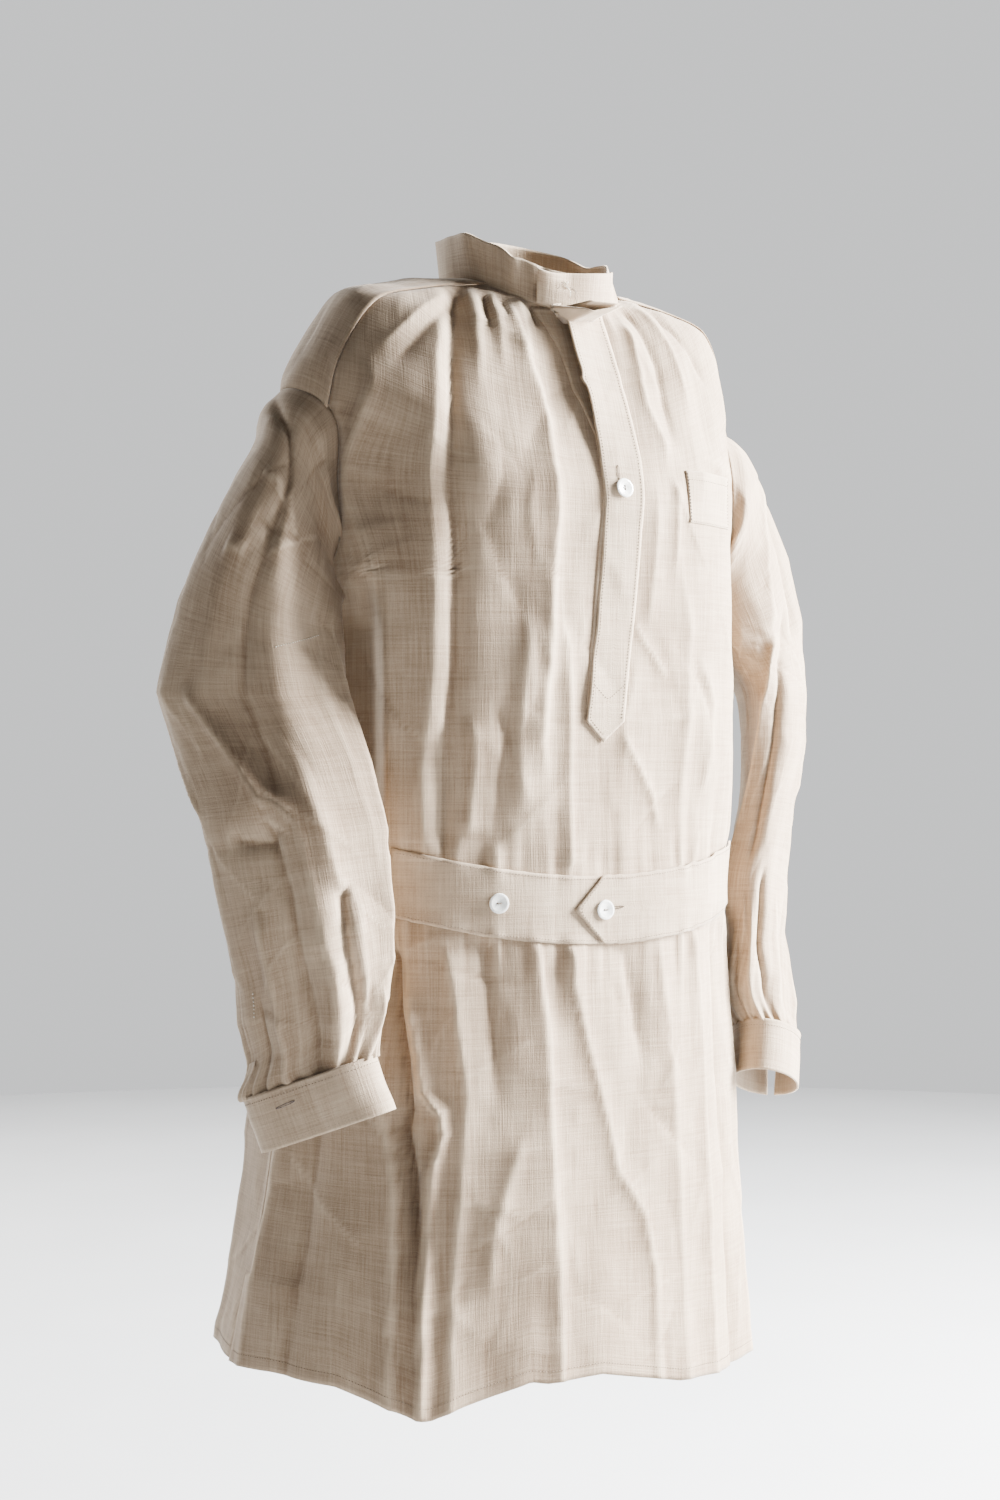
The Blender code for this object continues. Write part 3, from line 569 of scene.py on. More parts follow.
# Folds of the front, as lines of (distance round from centre front, height), drawn downwards:
# line, height, reach to the wearer's right, reach to the left, and how the ends die away.
FRONT_FOLDS = (
    # the long pleat from the collar, and the roll beside it
    (((-.1268, -.024), (-.1369, -.091), (-.1418, -.146), (-.1438, -.197), (-.1435, -.248),
      (-.1461, -.315), (-.1473, -.366), (-.1498, -.392), (-.1561, -.449), (-.1558, -.54)),
      -.0075, .007, .016, (0, .05)),
    (((-.14, -.03), (-.153, -.092), (-.158, -.15), (-.16, -.25), (-.163, -.37), (-.172, -.45),
      (-.172, -.54)), .0035, .016, .01, (.1, .05)),
    # the raised crease that curves down the chest
    (((-.0724, -.0347), (-.0621, -.0782), (-.0519, -.1175), (-.0482, -.1467), (-.0495, -.187),
      (-.0483, -.2285), (-.0509, -.2615), (-.0548, -.3127), (-.0586, -.3651), (-.0638, -.4333),
      (-.06, -.456), (-.0572, -.47)), .0065, .03, .007, (.03, .12)),
    (((-.0457, -.3198), (-.0365, -.3503), (-.0352, -.3989), (-.0351, -.5425)),
      .0034, .014, .005, (.1, .02)),
    (((-.075, -.3), (-.083, -.37), (-.088, -.44), (-.08, -.51)), .004, .012, .02, (.3, .2)),
    # the front's corner, where it turns to the side
    (((-.2185, -.0925), (-.2144, -.1792), (-.21, -.3312), (-.2105, -.545)), .0085, .016, .03, (.1, 0)),
    # gathers let into the collar
    (((-.0968, -.0277), (-.0969, -.066)), -.0055, .0025, .0045, (0, .5)),
    (((-.0769, -.031), (-.0752, -.052)), -.0045, .0025, .0045, (0, .5)),
    (((-.0481, -.032), (-.044, -.056)), -.005, .0025, .0045, (0, .5)),
    (((-.088, -.0277), (-.086, -.11)), .003, .006, .008, (0, .6)),
    (((-.06, -.032), (-.056, -.09)), .0025, .006, .008, (0, .6)),
    (((-.11, -.026), (-.112, -.13)), .003, .008, .01, (0, .6)),
    # folds that fall from the collar to the shoulder
    (((-.1281, -.0325), (-.16, -.062), (-.1989, -.1033)), -.004, .012, .01, (.1, .3)),
    (((-.134, -.026), (-.17, -.05), (-.215, -.09)), .0035, .01, .01, (.1, .3)),
    (((.0541, -.04), (.06, -.09), (.0625, -.1235), (.0777, -.1593), (.0774, -.1851)),
      .004, .014, .007, (.1, .2)),
    (((.07, -.034), (.085, -.085), (.09, -.14), (.0905, -.175)), -.0035, .01, .008, (0, .4)),
    (((.09, -.03), (.11, -.07), (.125, -.13)), .004, .012, .01, (0, .4)),
    (((.115, -.026), (.145, -.06), (.17, -.1)), -.0035, .01, .01, (0, .4)),
    (((.0852, -.1883), (.0861, -.2344), (.083, -.29)), .003, .008, .006, (.2, .4)),
    (((.06, -.19), (.059, -.26), (.052, -.34)), .003, .012, .01, (.3, .3)),
    # creases beside the placket
    (((.0352, -.3241), (.056, -.35), (.0769, -.3751)), .0024, .006, .003, (.1, .2)),
    (((.0221, -.4247), (.0572, -.4811), (.0675, -.5162)), .0032, .008, .004, (.1, .2)),
    (((.1186, -.3506), (.1393, -.3957), (.1248, -.4847)), .0036, .012, .012, (.2, .2)),
    (((.09, -.25), (.105, -.33), (.1, -.42), (.09, -.51)), .003, .016, .01, (.3, .2)),
    (((-.1315, -.4093), (-.1275, -.4489), (-.1338, -.5162)), .004, .01, .014, (.2, .1)),
    (((-.11, -.395), (-.098, -.425), (-.104, -.47), (-.112, -.53)), -.0035, .012, .014, (.2, .1)),
    # the skirt: the deep fold below the belt, and the roll that stands over it
    (((-.2014, -.613), (-.1993, -.6633), (-.191, -.7107), (-.1877, -.7535), (-.1914, -.7712),
      (-.1832, -.8106), (-.18, -.8593), (-.186, -.935)), -.024, .013, .008, (.04, .3)),
    (((-.1902, -.64), (-.1763, -.739), (-.1611, -.7571), (-.1592, -.7747), (-.1696, -.8106),
      (-.1745, -.8593), (-.1762, -.9303), (-.1792, -1.03)), .013, .007, .013, (.1, 0)),
    (((-.22, -.64), (-.213, -.7), (-.208, -.76), (-.2, -.82), (-.2, -.9), (-.204, -1.03)),
      .01, .016, .008, (.1, 0)),
    (((-.1533, -.613), (-.1469, -.6633), (-.1377, -.7427), (-.1422, -.8106), (-.1504, -.9151),
      (-.154, -1.03)), .006, .01, .02, (.04, 0)),
    (((-.115, -.615), (-.112, -.69), (-.108, -.76)), -.005, .016, .012, (0, .4)),
    (((-.0702, -.612), (-.0619, -.6853), (-.0571, -.7936), (-.0522, -.8846), (-.0498, -.9556),
      (-.05, -1.03)), .005, .024, .006, (0, 0)),
    (((-.0364, -.6193), (-.034, -.6493), (-.0237, -.6873), (.003, -.775), (.012, -.815), (.04, -.857),
      (.052, -.915), (.057, -1.03)), .0038, .01, .007, (0, 0)),
    (((-.0822, -.7712), (-.0985, -.8123), (-.1131, -.8609), (-.1174, -.94)), .004, .014, .016, (.2, .3)),
    (((.06, -.615), (.075, -.7), (.085, -.8), (.095, -1.03)), .005, .024, .02, (0, 0)),
    (((.12, -.615), (.13, -.7), (.135, -.85), (.145, -1.03)), .006, .022, .014, (0, 0)),
    (((.02, -.617), (.035, -.68), (.045, -.74)), -.0035, .01, .012, (0, .4)),
    (((.18, -.61), (.182, -.7), (.19, -.85), (.2, -1.03)), -.008, .018, .018, (0, 0)),
    (((.23, -.6), (.232, -.75), (.245, -1.03)), .008, .018, .018, (0, 0)),
    (((-.26, -.6), (-.27, -.75), (-.29, -1.03)), -.006, .022, .022, (0, 0)),
    (((-.3, -.6), (-.31, -.75), (-.34, -1.03)), .005, .018, .018, (0, 0)),
)

# Folds of the back in the same form, by distance round from centre back. The back isn't in the photo.
BACK_FOLDS = (
    (((-.02, -.03), (-.024, -.2), (-.03, -.56)), .006, .012, .018, (0, .1)),
    (((.045, -.03), (.052, -.2), (.05, -.56)), -.006, .012, .014, (0, .1)),
    (((-.085, -.03), (-.1, -.15), (-.11, -.4), (-.105, -.56)), -.006, .014, .012, (0, .1)),
    (((.11, -.04), (.128, -.18), (.13, -.5)), .007, .016, .014, (0, .2)),
    (((-.15, -.05), (-.165, -.2), (-.17, -.52)), .007, .014, .018, (0, .2)),
    (((.01, -.03), (.014, -.14)), .003, .006, .008, (0, .6)),
    (((-.05, -.03), (-.056, -.16)), .003, .006, .008, (0, .6)),
    (((.08, -.03), (.086, -.14)), -.003, .006, .008, (0, .6)),
    (((-.2, -.6), (-.215, -.8), (-.235, -1.03)), .011, .018, .016, (.1, 0)),
    (((-.13, -.61), (-.14, -.8), (-.15, -1.03)), -.011, .016, .018, (.1, 0)),
    (((-.06, -.61), (-.064, -.8), (-.075, -1.03)), .008, .018, .016, (.1, 0)),
    (((.012, -.61), (.018, -.8), (.02, -1.03)), -.009, .016, .018, (.1, 0)),
    (((.08, -.61), (.085, -.8), (.095, -1.03)), .01, .018, .016, (.1, 0)),
    (((.15, -.61), (.16, -.8), (.18, -1.03)), -.01, .018, .018, (.1, 0)),
    (((.215, -.6), (.225, -.8), (.255, -1.03)), .009, .016, .018, (.1, 0)),
    (((-.03, -.25), (.06, -.33), (.12, -.48)), .003, .01, .006, (.2, .3)),
    (((.1, -.24), (.02, -.38), (-.06, -.52)), .0026, .008, .006, (.2, .3)),
)
# How far the hem stands above its lowest level, by distance round from centre front.
HEM_RISE = (
    (-.34, .03), (-.3, .033), (-.245, .029), (-.181, .004), (-.169, .003), (-.143, .013), (-.079, .03),
    (-.064, .027), (-.009, .029), (.081, .01), (.193, .002), (.34, .004),
)


def row_numbers(spacing):
    """Ring numbers evenly spaced down the cloth, and how far down each one is."""
    index = np.linspace(0, len(RINGS) - 1, 1101)
    line = body_points(index, np.array([0.6]))[:, 0]
    down = np.concatenate(([0], np.cumsum(np.linalg.norm(np.diff(line, axis=0), axis=1))))
    place = np.linspace(0, down[-1], int(down[-1] / spacing) + 1)
    return np.interp(place, down, index), place


def flat_zones(x, z):
    """How freely the front folds: hardly under the belt and round the placket's button."""
    belt = np.exp(-(np.abs(z - belt_line(x)) / 0.033) ** 4)
    button = np.exp(-(((x - 0.0085) ** 2 + (z + 0.205) ** 2) / 0.016**2))
    return (1 - 0.93 * belt) * (1 - 0.9 * button)


def gathers(u, v, edge, seed, reach, height, pitch=0.012):
    """Small upright gathers that die away from a seam; edge is the distance from it."""
    noise = Noise(seed)
    wave = noise(u / pitch, v * 2.0) + 0.5 * noise(u / pitch * 1.9 + 5, v * 3.0)
    return height * wave * np.exp(-np.clip(edge, 0, None) / reach)


def panel(name, face, folds, seed, spacing, columns):
    index, down = row_numbers(spacing)
    shares = np.linspace(-1, 1, columns)
    points, u = panel_grid(index, shares, face)
    x, z = points[..., 0], points[..., 2]
    middle = np.array((-0.012, 0.0, -0.5))
    normal = outward(points, grid_normals(points), middle)
    lift = np.zeros(u.shape)
    for line, height, left, right, fade in folds:
        lift += fold(line, height * PANEL_RISE, left * PANEL_REACH, right * PANEL_REACH, u, z, fade)
    lift += soft_waves(u, z, seed, (
        (.16, .30, .0045), (.070, .16, .0028), (.030, .060, .0010), (.013, .020, .0004)))
    lift += creases(u, z, seed + 40, 190, 0.085, 0.0022, 0.35)
    lift += gathers(u, z, np.abs(z - belt_line(x)) - BELT_HALF, seed + 60, 0.035, 0.0035)
    neck = down[:, None] * np.ones_like(u)
    lift += gathers(u, z, neck, seed + 61, 0.040, 0.0020)
    if face < 0:
        lift *= flat_zones(x, z)
    else:
        lift *= 1 - 0.4 * np.exp(-(np.abs(z - belt_line(x)) / 0.033) ** 4)
    # The panel stays on its form at the collar, the yokes, the armholes and the side seams, but
    # not where the side seams are left open as vents.
    seam = smooth(0, 0.014, neck) * smooth(0, 0.05, 1 - np.abs(shares))[None, :]
    lift = lift * np.where(z > VENT_Z, seam, smooth(0, 0.014, neck))
    points = settle(points + normal * lift[..., None], face < 0)
    # The hem hangs unevenly.
    rise = np.interp(u if face < 0 else np.where(u > 0, 0.34, -0.34), *zip(*HEM_RISE))
    points[..., 2] += rise * smooth(-0.82, HEM_Z, z)
    thing = cloth(name, points, np.stack((u, -neck), -1), LINEN, inside=middle)
    # Worn paler crests, and painted shade darkening the hollows of the folds.
    set_wear_and_shade(thing, crease_wear_and_shade(lift, spacing))
    return thing, points


front, front_points = panel("front_panel", -1, FRONT_FOLDS, 11, 0.0040, 161)
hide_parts("front_body")
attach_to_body(front, "smock")
back, back_points = panel("back_panel", 1, BACK_FOLDS, 23, 0.0046, 141)
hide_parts("back_body")
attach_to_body(back, "smock")
front_tree = BVHTree.FromPolygons(
    front_points.reshape(-1, 3).tolist(), grid_faces(*front_points.shape[:2]).tolist())


def on_front(x, z):
    """Points on the front panel, seen from straight ahead at each (x, z)."""
    base = np.stack((x, np.full(x.shape, np.nan), z), -1)
    for i in np.ndindex(x.shape):
        hit = front_tree.ray_cast(Vector((x[i], -1.0, z[i])), Vector((0, 1, 0)))[0]
        if hit:
            base[i][1] = hit.y
    return base


def strip_on_front(name, x, z, lift, rounds, thickness):
    """A strip that lies on the front: a grid of (x, z) places, smoothed in rounds and lifted."""
    base = on_front(x, z)
    missed = np.isnan(base[..., 1])
    base[..., 1][missed] = np.nanmean(base[..., 1])
    stiff = relax(base, rounds)
    stiff[..., 1] = np.minimum(stiff[..., 1], base[..., 1] + 0.0002)
    normal = grid_normals(stiff)
    if normal[..., 1].sum() > 0:
        normal = -normal
    points = stiff + normal * np.broadcast_to(lift, x.shape)[..., None]
    thing = cloth(name, points, np.stack((x, z), -1), LINEN_STRIP, thickness,
                  inside=np.array((0.0, 0.3, -0.4)))
    return thing, points


# ----------------------------------------------------------------------------------- yokes

for side, suffix in SIDES:
    across = np.linspace(-YOKE_HALF_DEPTH - 0.0012, YOKE_HALF_DEPTH + 0.0012, 31)
    points = yoke_grid(side, across, 48)
    below_neck = np.array((0, 0, -0.3))
    normal = outward(points, grid_normals(points), below_neck)
    u = np.broadcast_to(across[:, None], points.shape[:2])
    v = np.broadcast_to(np.linspace(0, 0.165, 48)[None, :], points.shape[:2])
    lift = soft_waves(v, u, 31 + side, ((.060, .05, .0022), (.028, .03, .0010)))
    lift += creases(v, u, 35 + side, 30, 0.05, 0.0014)
    ends = smooth(0, 0.010, v) * smooth(0.165, 0.150, v) * smooth(0, 0.008, 0.0462 - np.abs(u))
    # The seam allowances underneath raise the two edges.
    lift = lift * ends + 0.0013 + 0.0010 * np.exp(-((0.0462 - np.abs(u)) / 0.006) ** 2)
    points = settle(points + normal * lift[..., None])
    yoke = cloth("yoke_" + suffix, points, np.stack((v, u), -1), LINEN, 0.0012, inside=below_neck)
    # Worn paler crests, and painted shade darkening the hollows of the folds.
    set_wear_and_shade(yoke, crease_wear_and_shade(lift, 0.003))
    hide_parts("shoulder_yoke_" + suffix)
    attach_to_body(yoke, "smock")

# ---------------------------------------------------------------------------------- collar

NECK = RINGS[0]
COLLAR_HEIGHT = 0.039


def neck_points(turn, height, lift, lean=0.04):
    half, front_depth, back_depth, side_z, front_z, back_z = NECK[:6]
    spread = 1 + lean * height / COLLAR_HEIGHT
    cos, sin = np.cos(turn), np.sin(turn)
    depth = np.where(cos > 0, front_depth, back_depth)
    end_z = np.where(cos > 0, front_z, back_z)
    z = side_z + (end_z - side_z) * cos**2 + height
    return np.stack(((half * spread + lift) * sin, -(depth * spread + lift) * cos, z), -1)


def collar_piece(name, low, high, columns, lift, height_share, shape):
    """A stretch of the stand collar; shape says how far each place stands off and rises."""
    turn = np.radians(np.linspace(low, high, columns))[None, :]
    share = np.linspace(0, 1, 15)[:, None]
    height = -0.0030 + (COLLAR_HEIGHT * height_share(turn) + 0.0030) * share
    off, rise = shape(turn, share)
    points = neck_points(turn, height + rise, lift + off)
    flat = np.stack((turn * 0.08 + 0 * share, height + 0 * turn), -1)
    piece = cloth(name, points, flat, LINEN_STRIP, 0.0022, inside=np.array((0, 0, 0.0)))
    noise = soft_waves(turn * 0.08 + 0 * share, height + 0 * turn, 51, ((.02, .02, 1.0),))
    set_wear_and_shade(piece, 0.10 * noise + 0.20 * smooth(0.9, 1.0, share + 0 * turn))
    return piece, points


def band_height(turn):
    front_share = np.clip(np.cos(turn), 0, 1) ** 2
    slumped = smooth(24, 44, np.degrees(turn)) * smooth(130, 95, np.degrees(turn))
    return 1.0 - 0.17 * front_share + 0.03 * np.sin(3 * turn) - 0.20 * slumped


def band_shape(turn, share):
    degrees = np.degrees(turn)
    # A crease folds the band in front of the wearer's right shoulder, and its top edge leans out.
    crease = np.exp(-((degrees - 318) / 4.0) ** 2) - 0.8 * np.exp(-((degrees - 309) / 6.0) ** 2)
    corner = np.exp(-((degrees - 292) / 9.0) ** 2)
    second = np.exp(-((degrees - 336) / 3.0) ** 2)
    soft = 0.9 * np.sin(5 * turn + 0.6) + 0.7 * np.sin(9 * turn + 2.0)
    slumped = smooth(24, 50, degrees) * smooth(130, 95, degrees)
    off = 0.0035 * crease + 0.0070 * corner + 0.0010 * soft - 0.0120 * slumped - 0.0018 * second
    return share * off, share * (0.0035 * corner - 0.0028 * crease)


band, band_points = collar_piece("collar_stand", 30, 374, 241, 0.0030, band_height, band_shape)
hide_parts("collar_band")
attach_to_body(band, "smock")


def end_shape(turn, share):
    degrees = np.degrees(turn)
    free = smooth(-6, -28, degrees)
    # The unbuttoned end stands off the band and curls over at its top corner.
    off = free * (0.0030 + 0.0075 * share**1.5) + 0.0008 * np.sin(10 * turn) * share
    rise = -0.0060 * free * share**2 + 0.0012 * np.sin(7 * turn + 1) * share
    return off, rise


# ------------------------------------------------------------------------------- plackets

# Each edge of the upper placket as (height, x).
FREE_EDGE = (
    (-.433, -.0335), (-.416, -.0315), (-.378, -.026), (-.339, -.021), (-.283, -.015), (-.216, -.011),
    (-.158, -.012), (-.123, -.015), (-.08, -.019), (-.03, -.0215),
)
SEWN_EDGE = (
    (-.433, .008), (-.414, .01), (-.372, .0154), (-.324, .022), (-.259, .027), (-.213, .031),
    (-.178, .0325), (-.119, .031), (-.06, .0285), (-.03, .027),
)
PLACKET_TOP, PLACKET_SHOULDER, PLACKET_TIP = -0.0345, -0.4145, -0.433
UNDER_FREE_EDGE = (
    (-.405, -.03), (-.205, -.012), (-.1545, -.011), (-.1142, -.0227), (-.0783, -.0285), (-.0341, -.044),
)


def placket_places(rows, columns, low=-1.0, high=1.0):
    across = np.linspace(low, high, columns)[None, :]
    bottom = PLACKET_SHOULDER + (PLACKET_TIP - PLACKET_SHOULDER) * (1 - np.abs(across))
    z = PLACKET_TOP + (bottom - PLACKET_TOP) * np.linspace(0, 1, rows)[:, None]
    left, right = np.interp(z, *zip(*FREE_EDGE)), np.interp(z, *zip(*SEWN_EDGE))
    x = left + (right - left) * (across + 1) / 2
    return x, z, across


def placket_lift(z, across):
    """The strip lies on the front below its button; above, its free edge stands away."""
    away = np.clip((1 - across) / 2, 0, 1)
    open_above = smooth(-0.205, -0.100, z)
    ripple = 0.0006 * np.sin(z * 95 + 1.0) * smooth(-0.2, -0.35, z)
    tip = 0.0012 * smooth(-0.30, -0.42, z) * away**3
    return 0.0022 + ripple * away + 0.0105 * open_above * away**1.3 + tip


z = np.linspace(PLACKET_TOP, -0.403, 96)[:, None] + 0 * np.linspace(0, 1, 15)[None, :]
share = np.linspace(0, 1, 15)[None, :] + 0 * z
x = np.interp(z, *zip(*UNDER_FREE_EDGE)) * (1 - share) + (np.interp(z, *zip(*SEWN_EDGE)) - 0.008) * share
under, _ = strip_on_front("under_placket", x, z, 0.0009, 2, 0.0008)
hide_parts("placket_under")
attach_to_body(under, "smock")

x, z, across = placket_places(150, 21)
across = across + 0 * z
over, over_points = strip_on_front("over_placket", x, z, placket_lift(z, across), 6, 0.0012)
edge_wear = 0.22 * np.exp(-(1 - np.abs(across)) / 0.08) + 0.06 * soft_waves(x, z, 77, ((.01, .02, 1.0),))
set_wear_and_shade(over, edge_wear)
BLEND_START, BLEND_END = (0.0, -0.150, -0.208), (0.0, -0.150, -0.135)
end_piece, end_points = collar_piece("collar_end_flap", -28, 26, 61, 0.0062, band_height, end_shape)
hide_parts("collar_end")
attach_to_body(end_piece, "placket_flap")
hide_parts("placket_over_lower", "placket_over_flap")
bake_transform(over)

# ---------------------------------------------------------------------------------- pocket

POCKET_LOW_X, POCKET_HIGH_X, POCKET_TOP, POCKET_BOTTOM = 0.0860, 0.1540, -0.1824, -0.2304
share_x = np.linspace(0, 1, 35)[None, :]
share_z = np.linspace(0, 1, 27)[:, None]
x = POCKET_LOW_X + 0.0020 * share_z + (POCKET_HIGH_X - POCKET_LOW_X) * share_x
z = POCKET_TOP + (POCKET_BOTTOM - POCKET_TOP) * share_z - 0.0010 * share_x
belly = np.sin(math.pi * share_x) ** 0.7 * smooth(1.02, 0.0, share_z) * 0.0032 * np.ones_like(x)
pocket, pocket_points = strip_on_front("pocket_patch", x, z, 0.0010 + belly, 2, 0.0010)
set_wear_and_shade(pocket, 0.25 * smooth(0.06, 0.0, share_z) + 0.0 * x)
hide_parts("chest_pocket")
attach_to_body(pocket, "smock")

# ------------------------------------------------------------------------------------ belt


def belt_piece(name, low, point, high, lift, body, node):
    """One half of the belt. Its two edges start at low, and its middle at point."""
    columns = int((high - low) / 0.0028)
    share = np.linspace(-1, 1, 23)[:, None]
    start = low + (point - low) * (1 - np.abs(share))
    x = start + (high - start) * np.linspace(0, 1, columns)[None, :]
    z = belt_line(x) - BELT_HALF * share
    wave = soft_waves(x, z, 90, ((.05, .04, .0008), (.018, .02, .0003)))
    thing, points = strip_on_front(name, x, z, lift + 0.0006 + wave * 0.6, 12, 0.0016)
    edge = 0.16 * np.exp(-(1 - np.abs(share)) / 0.05)
    set_wear_and_shade(thing, edge + 0.08 * soft_waves(x, z, 91, ((.012, .008, 1.0),)))
    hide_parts(node)
    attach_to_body(thing, body)
    return points


belt_under_points = belt_piece(
    "belt_under_half", -0.200, -0.200, 0.034, 0.0018, "belt_right_half", "belt_right")
belt_tab_points = belt_piece(
    "belt_tab_half", -0.0170, -0.046, 0.172, 0.0042, "belt_left_half", "belt_left")

# ---------------------------------------------------------------------------------- sleeves

# The way round each section of a sleeve, and how far down the cloth it is.
SLEEVE_PERIMETER = np.array((0.534, 0.530, 0.520, 0.490, 0.450, 0.430, 0.420, 0.380, 0.300))
SECTIONS = np.arange(len(SLEEVE))
SLEEVE_FALL = np.array((0.0, 0.03, 0.085, 0.160, 0.250, 0.360, 0.460, 0.545, 0.592))

# Folds of the wearer's right sleeve: (degrees round, section number) from the shoulder down.
RIGHT_FOLDS = (
    (((-6, .3), (24, 1.3), (43, 1.9), (53, 2.6), (53, 3.4), (51, 4.3), (49, 4.9)),
      -.008, .016, .012, (.1, .1)),
    (((38, 4.95), (45, 5.6), (48, 6.2), (56, 6.9), (66, 7.5), (70, 8.2)), -.012, .012, .01, (.1, 0)),
    (((40, 4.75), (58, 5.05), (62, 5.7), (70, 6.6), (80, 7.5)), .006, .01, .014, (.1, .1)),
    (((13, 3.9), (22, 4.23), (33, 4.63), (41, 4.94)), .007, .01, .01, (.2, .1)),
    (((10, 5.1), (22, 5.16), (38, 5.18), (46, 5.05)), -.006, .007, .01, (.2, .1)),
    (((18, 2.08), (34, 2.02), (51, 2.1)), .004, .006, .009, (.2, .2)),
    (((20, 2.69), (40, 2.62)), .004, .006, .008, (.2, .2)),
    (((30, 2.4), (60, 2.3), (80, 2.15)), -.003, .006, .009, (.2, .2)),
    (((52, 2.58), (70, 2.25), (83, 1.9)), .003, .006, .009, (.2, .2)),
    (((69, 4.55), (75, 5.1), (83, 5.9), (86, 6.6)), .004, .016, .012, (.3, .3)),
    (((84, 5.64), (80, 5.7), (79, 6.19), (86, 6.78), (90, 7.1), (94, 8.2)), -.011, .006, .006, (.03, 0)),
    (((90, 5.7), (90, 6.3), (98, 7), (103, 8.2)), .006, .006, .01, (.2, 0)),
    (((72, 6.2), (78, 7), (84, 8.2)), .005, .007, .008, (.2, 0)),
    (((97, 6.51), (98, 7.01), (108, 7.7), (112, 8.2)), -.007, .006, .007, (.3, 0)),
    (((112, 6.6), (118, 7.2), (124, 8.2)), .005, .008, .008, (.3, 0)),
    (((144, 6.9), (134, 7.4), (130, 8.2)), -.008, .006, .008, (.2, 0)),
    (((20, 5.6), (26, 6.4), (34, 7.2), (40, 8.2)), .006, .01, .01, (.2, 0)),
    (((8, 6.4), (12, 7.2), (18, 8.2)), -.007, .008, .008, (.3, 0)),
    (((110, 2.4), (128, 3.4), (136, 4.4)), .003, .018, .012, (.2, .3)),
    (((100, 3.6), (106, 4.6), (112, 5.6)), .0032, .018, .014, (.3, .3)),
    (((-60, 3.8), (-40, 4.6), (-20, 5)), .006, .012, .012, (.2, .2)),
    (((-90, 5.8), (-80, 7), (-76, 8.2)), -.008, .01, .01, (.3, 0)),
    (((-130, 5.8), (-120, 7), (-116, 8.2)), .007, .01, .01, (.3, 0)),
    (((-50, 6), (-44, 7), (-40, 8.2)), .006, .01, .01, (.3, 0)),
    (((-160, 5.9), (-158, 7), (-150, 8.2)), -.006, .01, .01, (.3, 0)),
)
LEFT_FOLDS = (
    (((90, 2.9), (120, 3.6), (142, 4.07), (160, 4.76), (172, 5.4), (174, 6.35)),
      .009, .012, .012, (.1, .1)),
    (((70, 2.7), (100, 3.5), (120, 4.1), (136, 4.8), (142, 5.6)), -.007, .014, .012, (.1, .1)),
    (((20, 1.6), (50, 2.4), (70, 3.2)), -.006, .012, .014, (.2, .2)),
    (((40, 1.4), (75, 2.2), (96, 3)), .006, .01, .014, (.2, .2)),
    (((110, 5.6), (112, 6.6), (112, 8.2)), -.008, .008, .008, (.2, 0)),
    (((128, 6), (128, 7), (126, 8.2)), .006, .008, .008, (.3, 0)),
    (((80, 5.8), (84, 7), (86, 8.2)), .006, .01, .008, (.3, 0)),
    (((50, 5.8), (54, 7), (58, 8.2)), -.008, .01, .008, (.3, 0)),
    (((150, 6.4), (152, 7.2), (152, 8.2)), -.007, .008, .008, (.3, 0)),
    (((14, 6), (16, 7), (20, 8.2)), .006, .01, .01, (.3, 0)),
    (((-40, 5.8), (-44, 7), (-44, 8.2)), -.008, .01, .01, (.3, 0)),
    (((-90, 5.8), (-84, 7), (-80, 8.2)), .008, .01, .01, (.3, 0)),
    (((-130, 5.8), (-124, 7), (-120, 8.2)), -.008, .01, .01, (.3, 0)),
    (((-20, 3.9), (10, 4.6), (40, 4.9)), .006, .012, .012, (.2, .2)),
)


def flat_place(degrees, number):
    """A sleeve's flat position: round from its outer edge and down from its seam."""
    perimeter = np.interp(number, SECTIONS, SLEEVE_PERIMETER)
    return np.asarray(degrees) / 360 * perimeter, np.interp(number, SECTIONS, SLEEVE_FALL)


# The empty sleeves hang pressed flat. Each edge is how far its sleeve reaches along ACROSS, as
# (height, place).
RIGHT_EDGE = (
    (-.7265, -.2397), (-.678, -.2508), (-.644, -.2533), (-.6075, -.2602), (-.5616, -.2704),
    (-.525, -.278), (-.5, -.29), (-.452, -.308), (-.39, -.328), (-.356, -.3215), (-.308, -.311),
    (-.256, -.29), (-.194, -.2657), (-.149, -.243), (-.1145, -.2285),
)
RIGHT_INNER_EDGE = (
    (-.69, -.1271), (-.664, -.1188), (-.621, -.1129), (-.579, -.1129), (-.508, -.118), (-.4515, -.132),
    (-.393, -.153), (-.349, -.16), (-.299, -.162), (-.255, -.169), (-.2105, -.1737), (-.166, -.1834),
    (-.127, -.1905),
)
LEFT_EDGE = (
    (-.693, .2708), (-.622, .2607), (-.566, .2627), (-.501, .2708), (-.43, .2859), (-.309, .2779),
    (-.248, .2657), (-.182, .2405), (-.127, .2152), (-.073, .2071),
)


def edges(points, across, v, low):
    """The lowest or highest place across at each height, smoothed, of the sleeve away from its seam."""
    heights = np.arange(-0.76, -0.06, 0.012)
    found = []
    for height in heights:
        near = (np.abs(points[..., 2] - height) < 0.012) & (v > 0.03)
        found.append((across[near].min() if low else across[near].max()) if near.sum() > 3 else np.nan)
    found = np.array(found)
    good = ~np.isnan(found)
    found = np.interp(heights, heights[good], found[good])
    padded = np.concatenate((found[:1], found, found[-1:]))
    return heights, (padded[:-2] + padded[1:-1] * 2 + padded[2:]) / 4


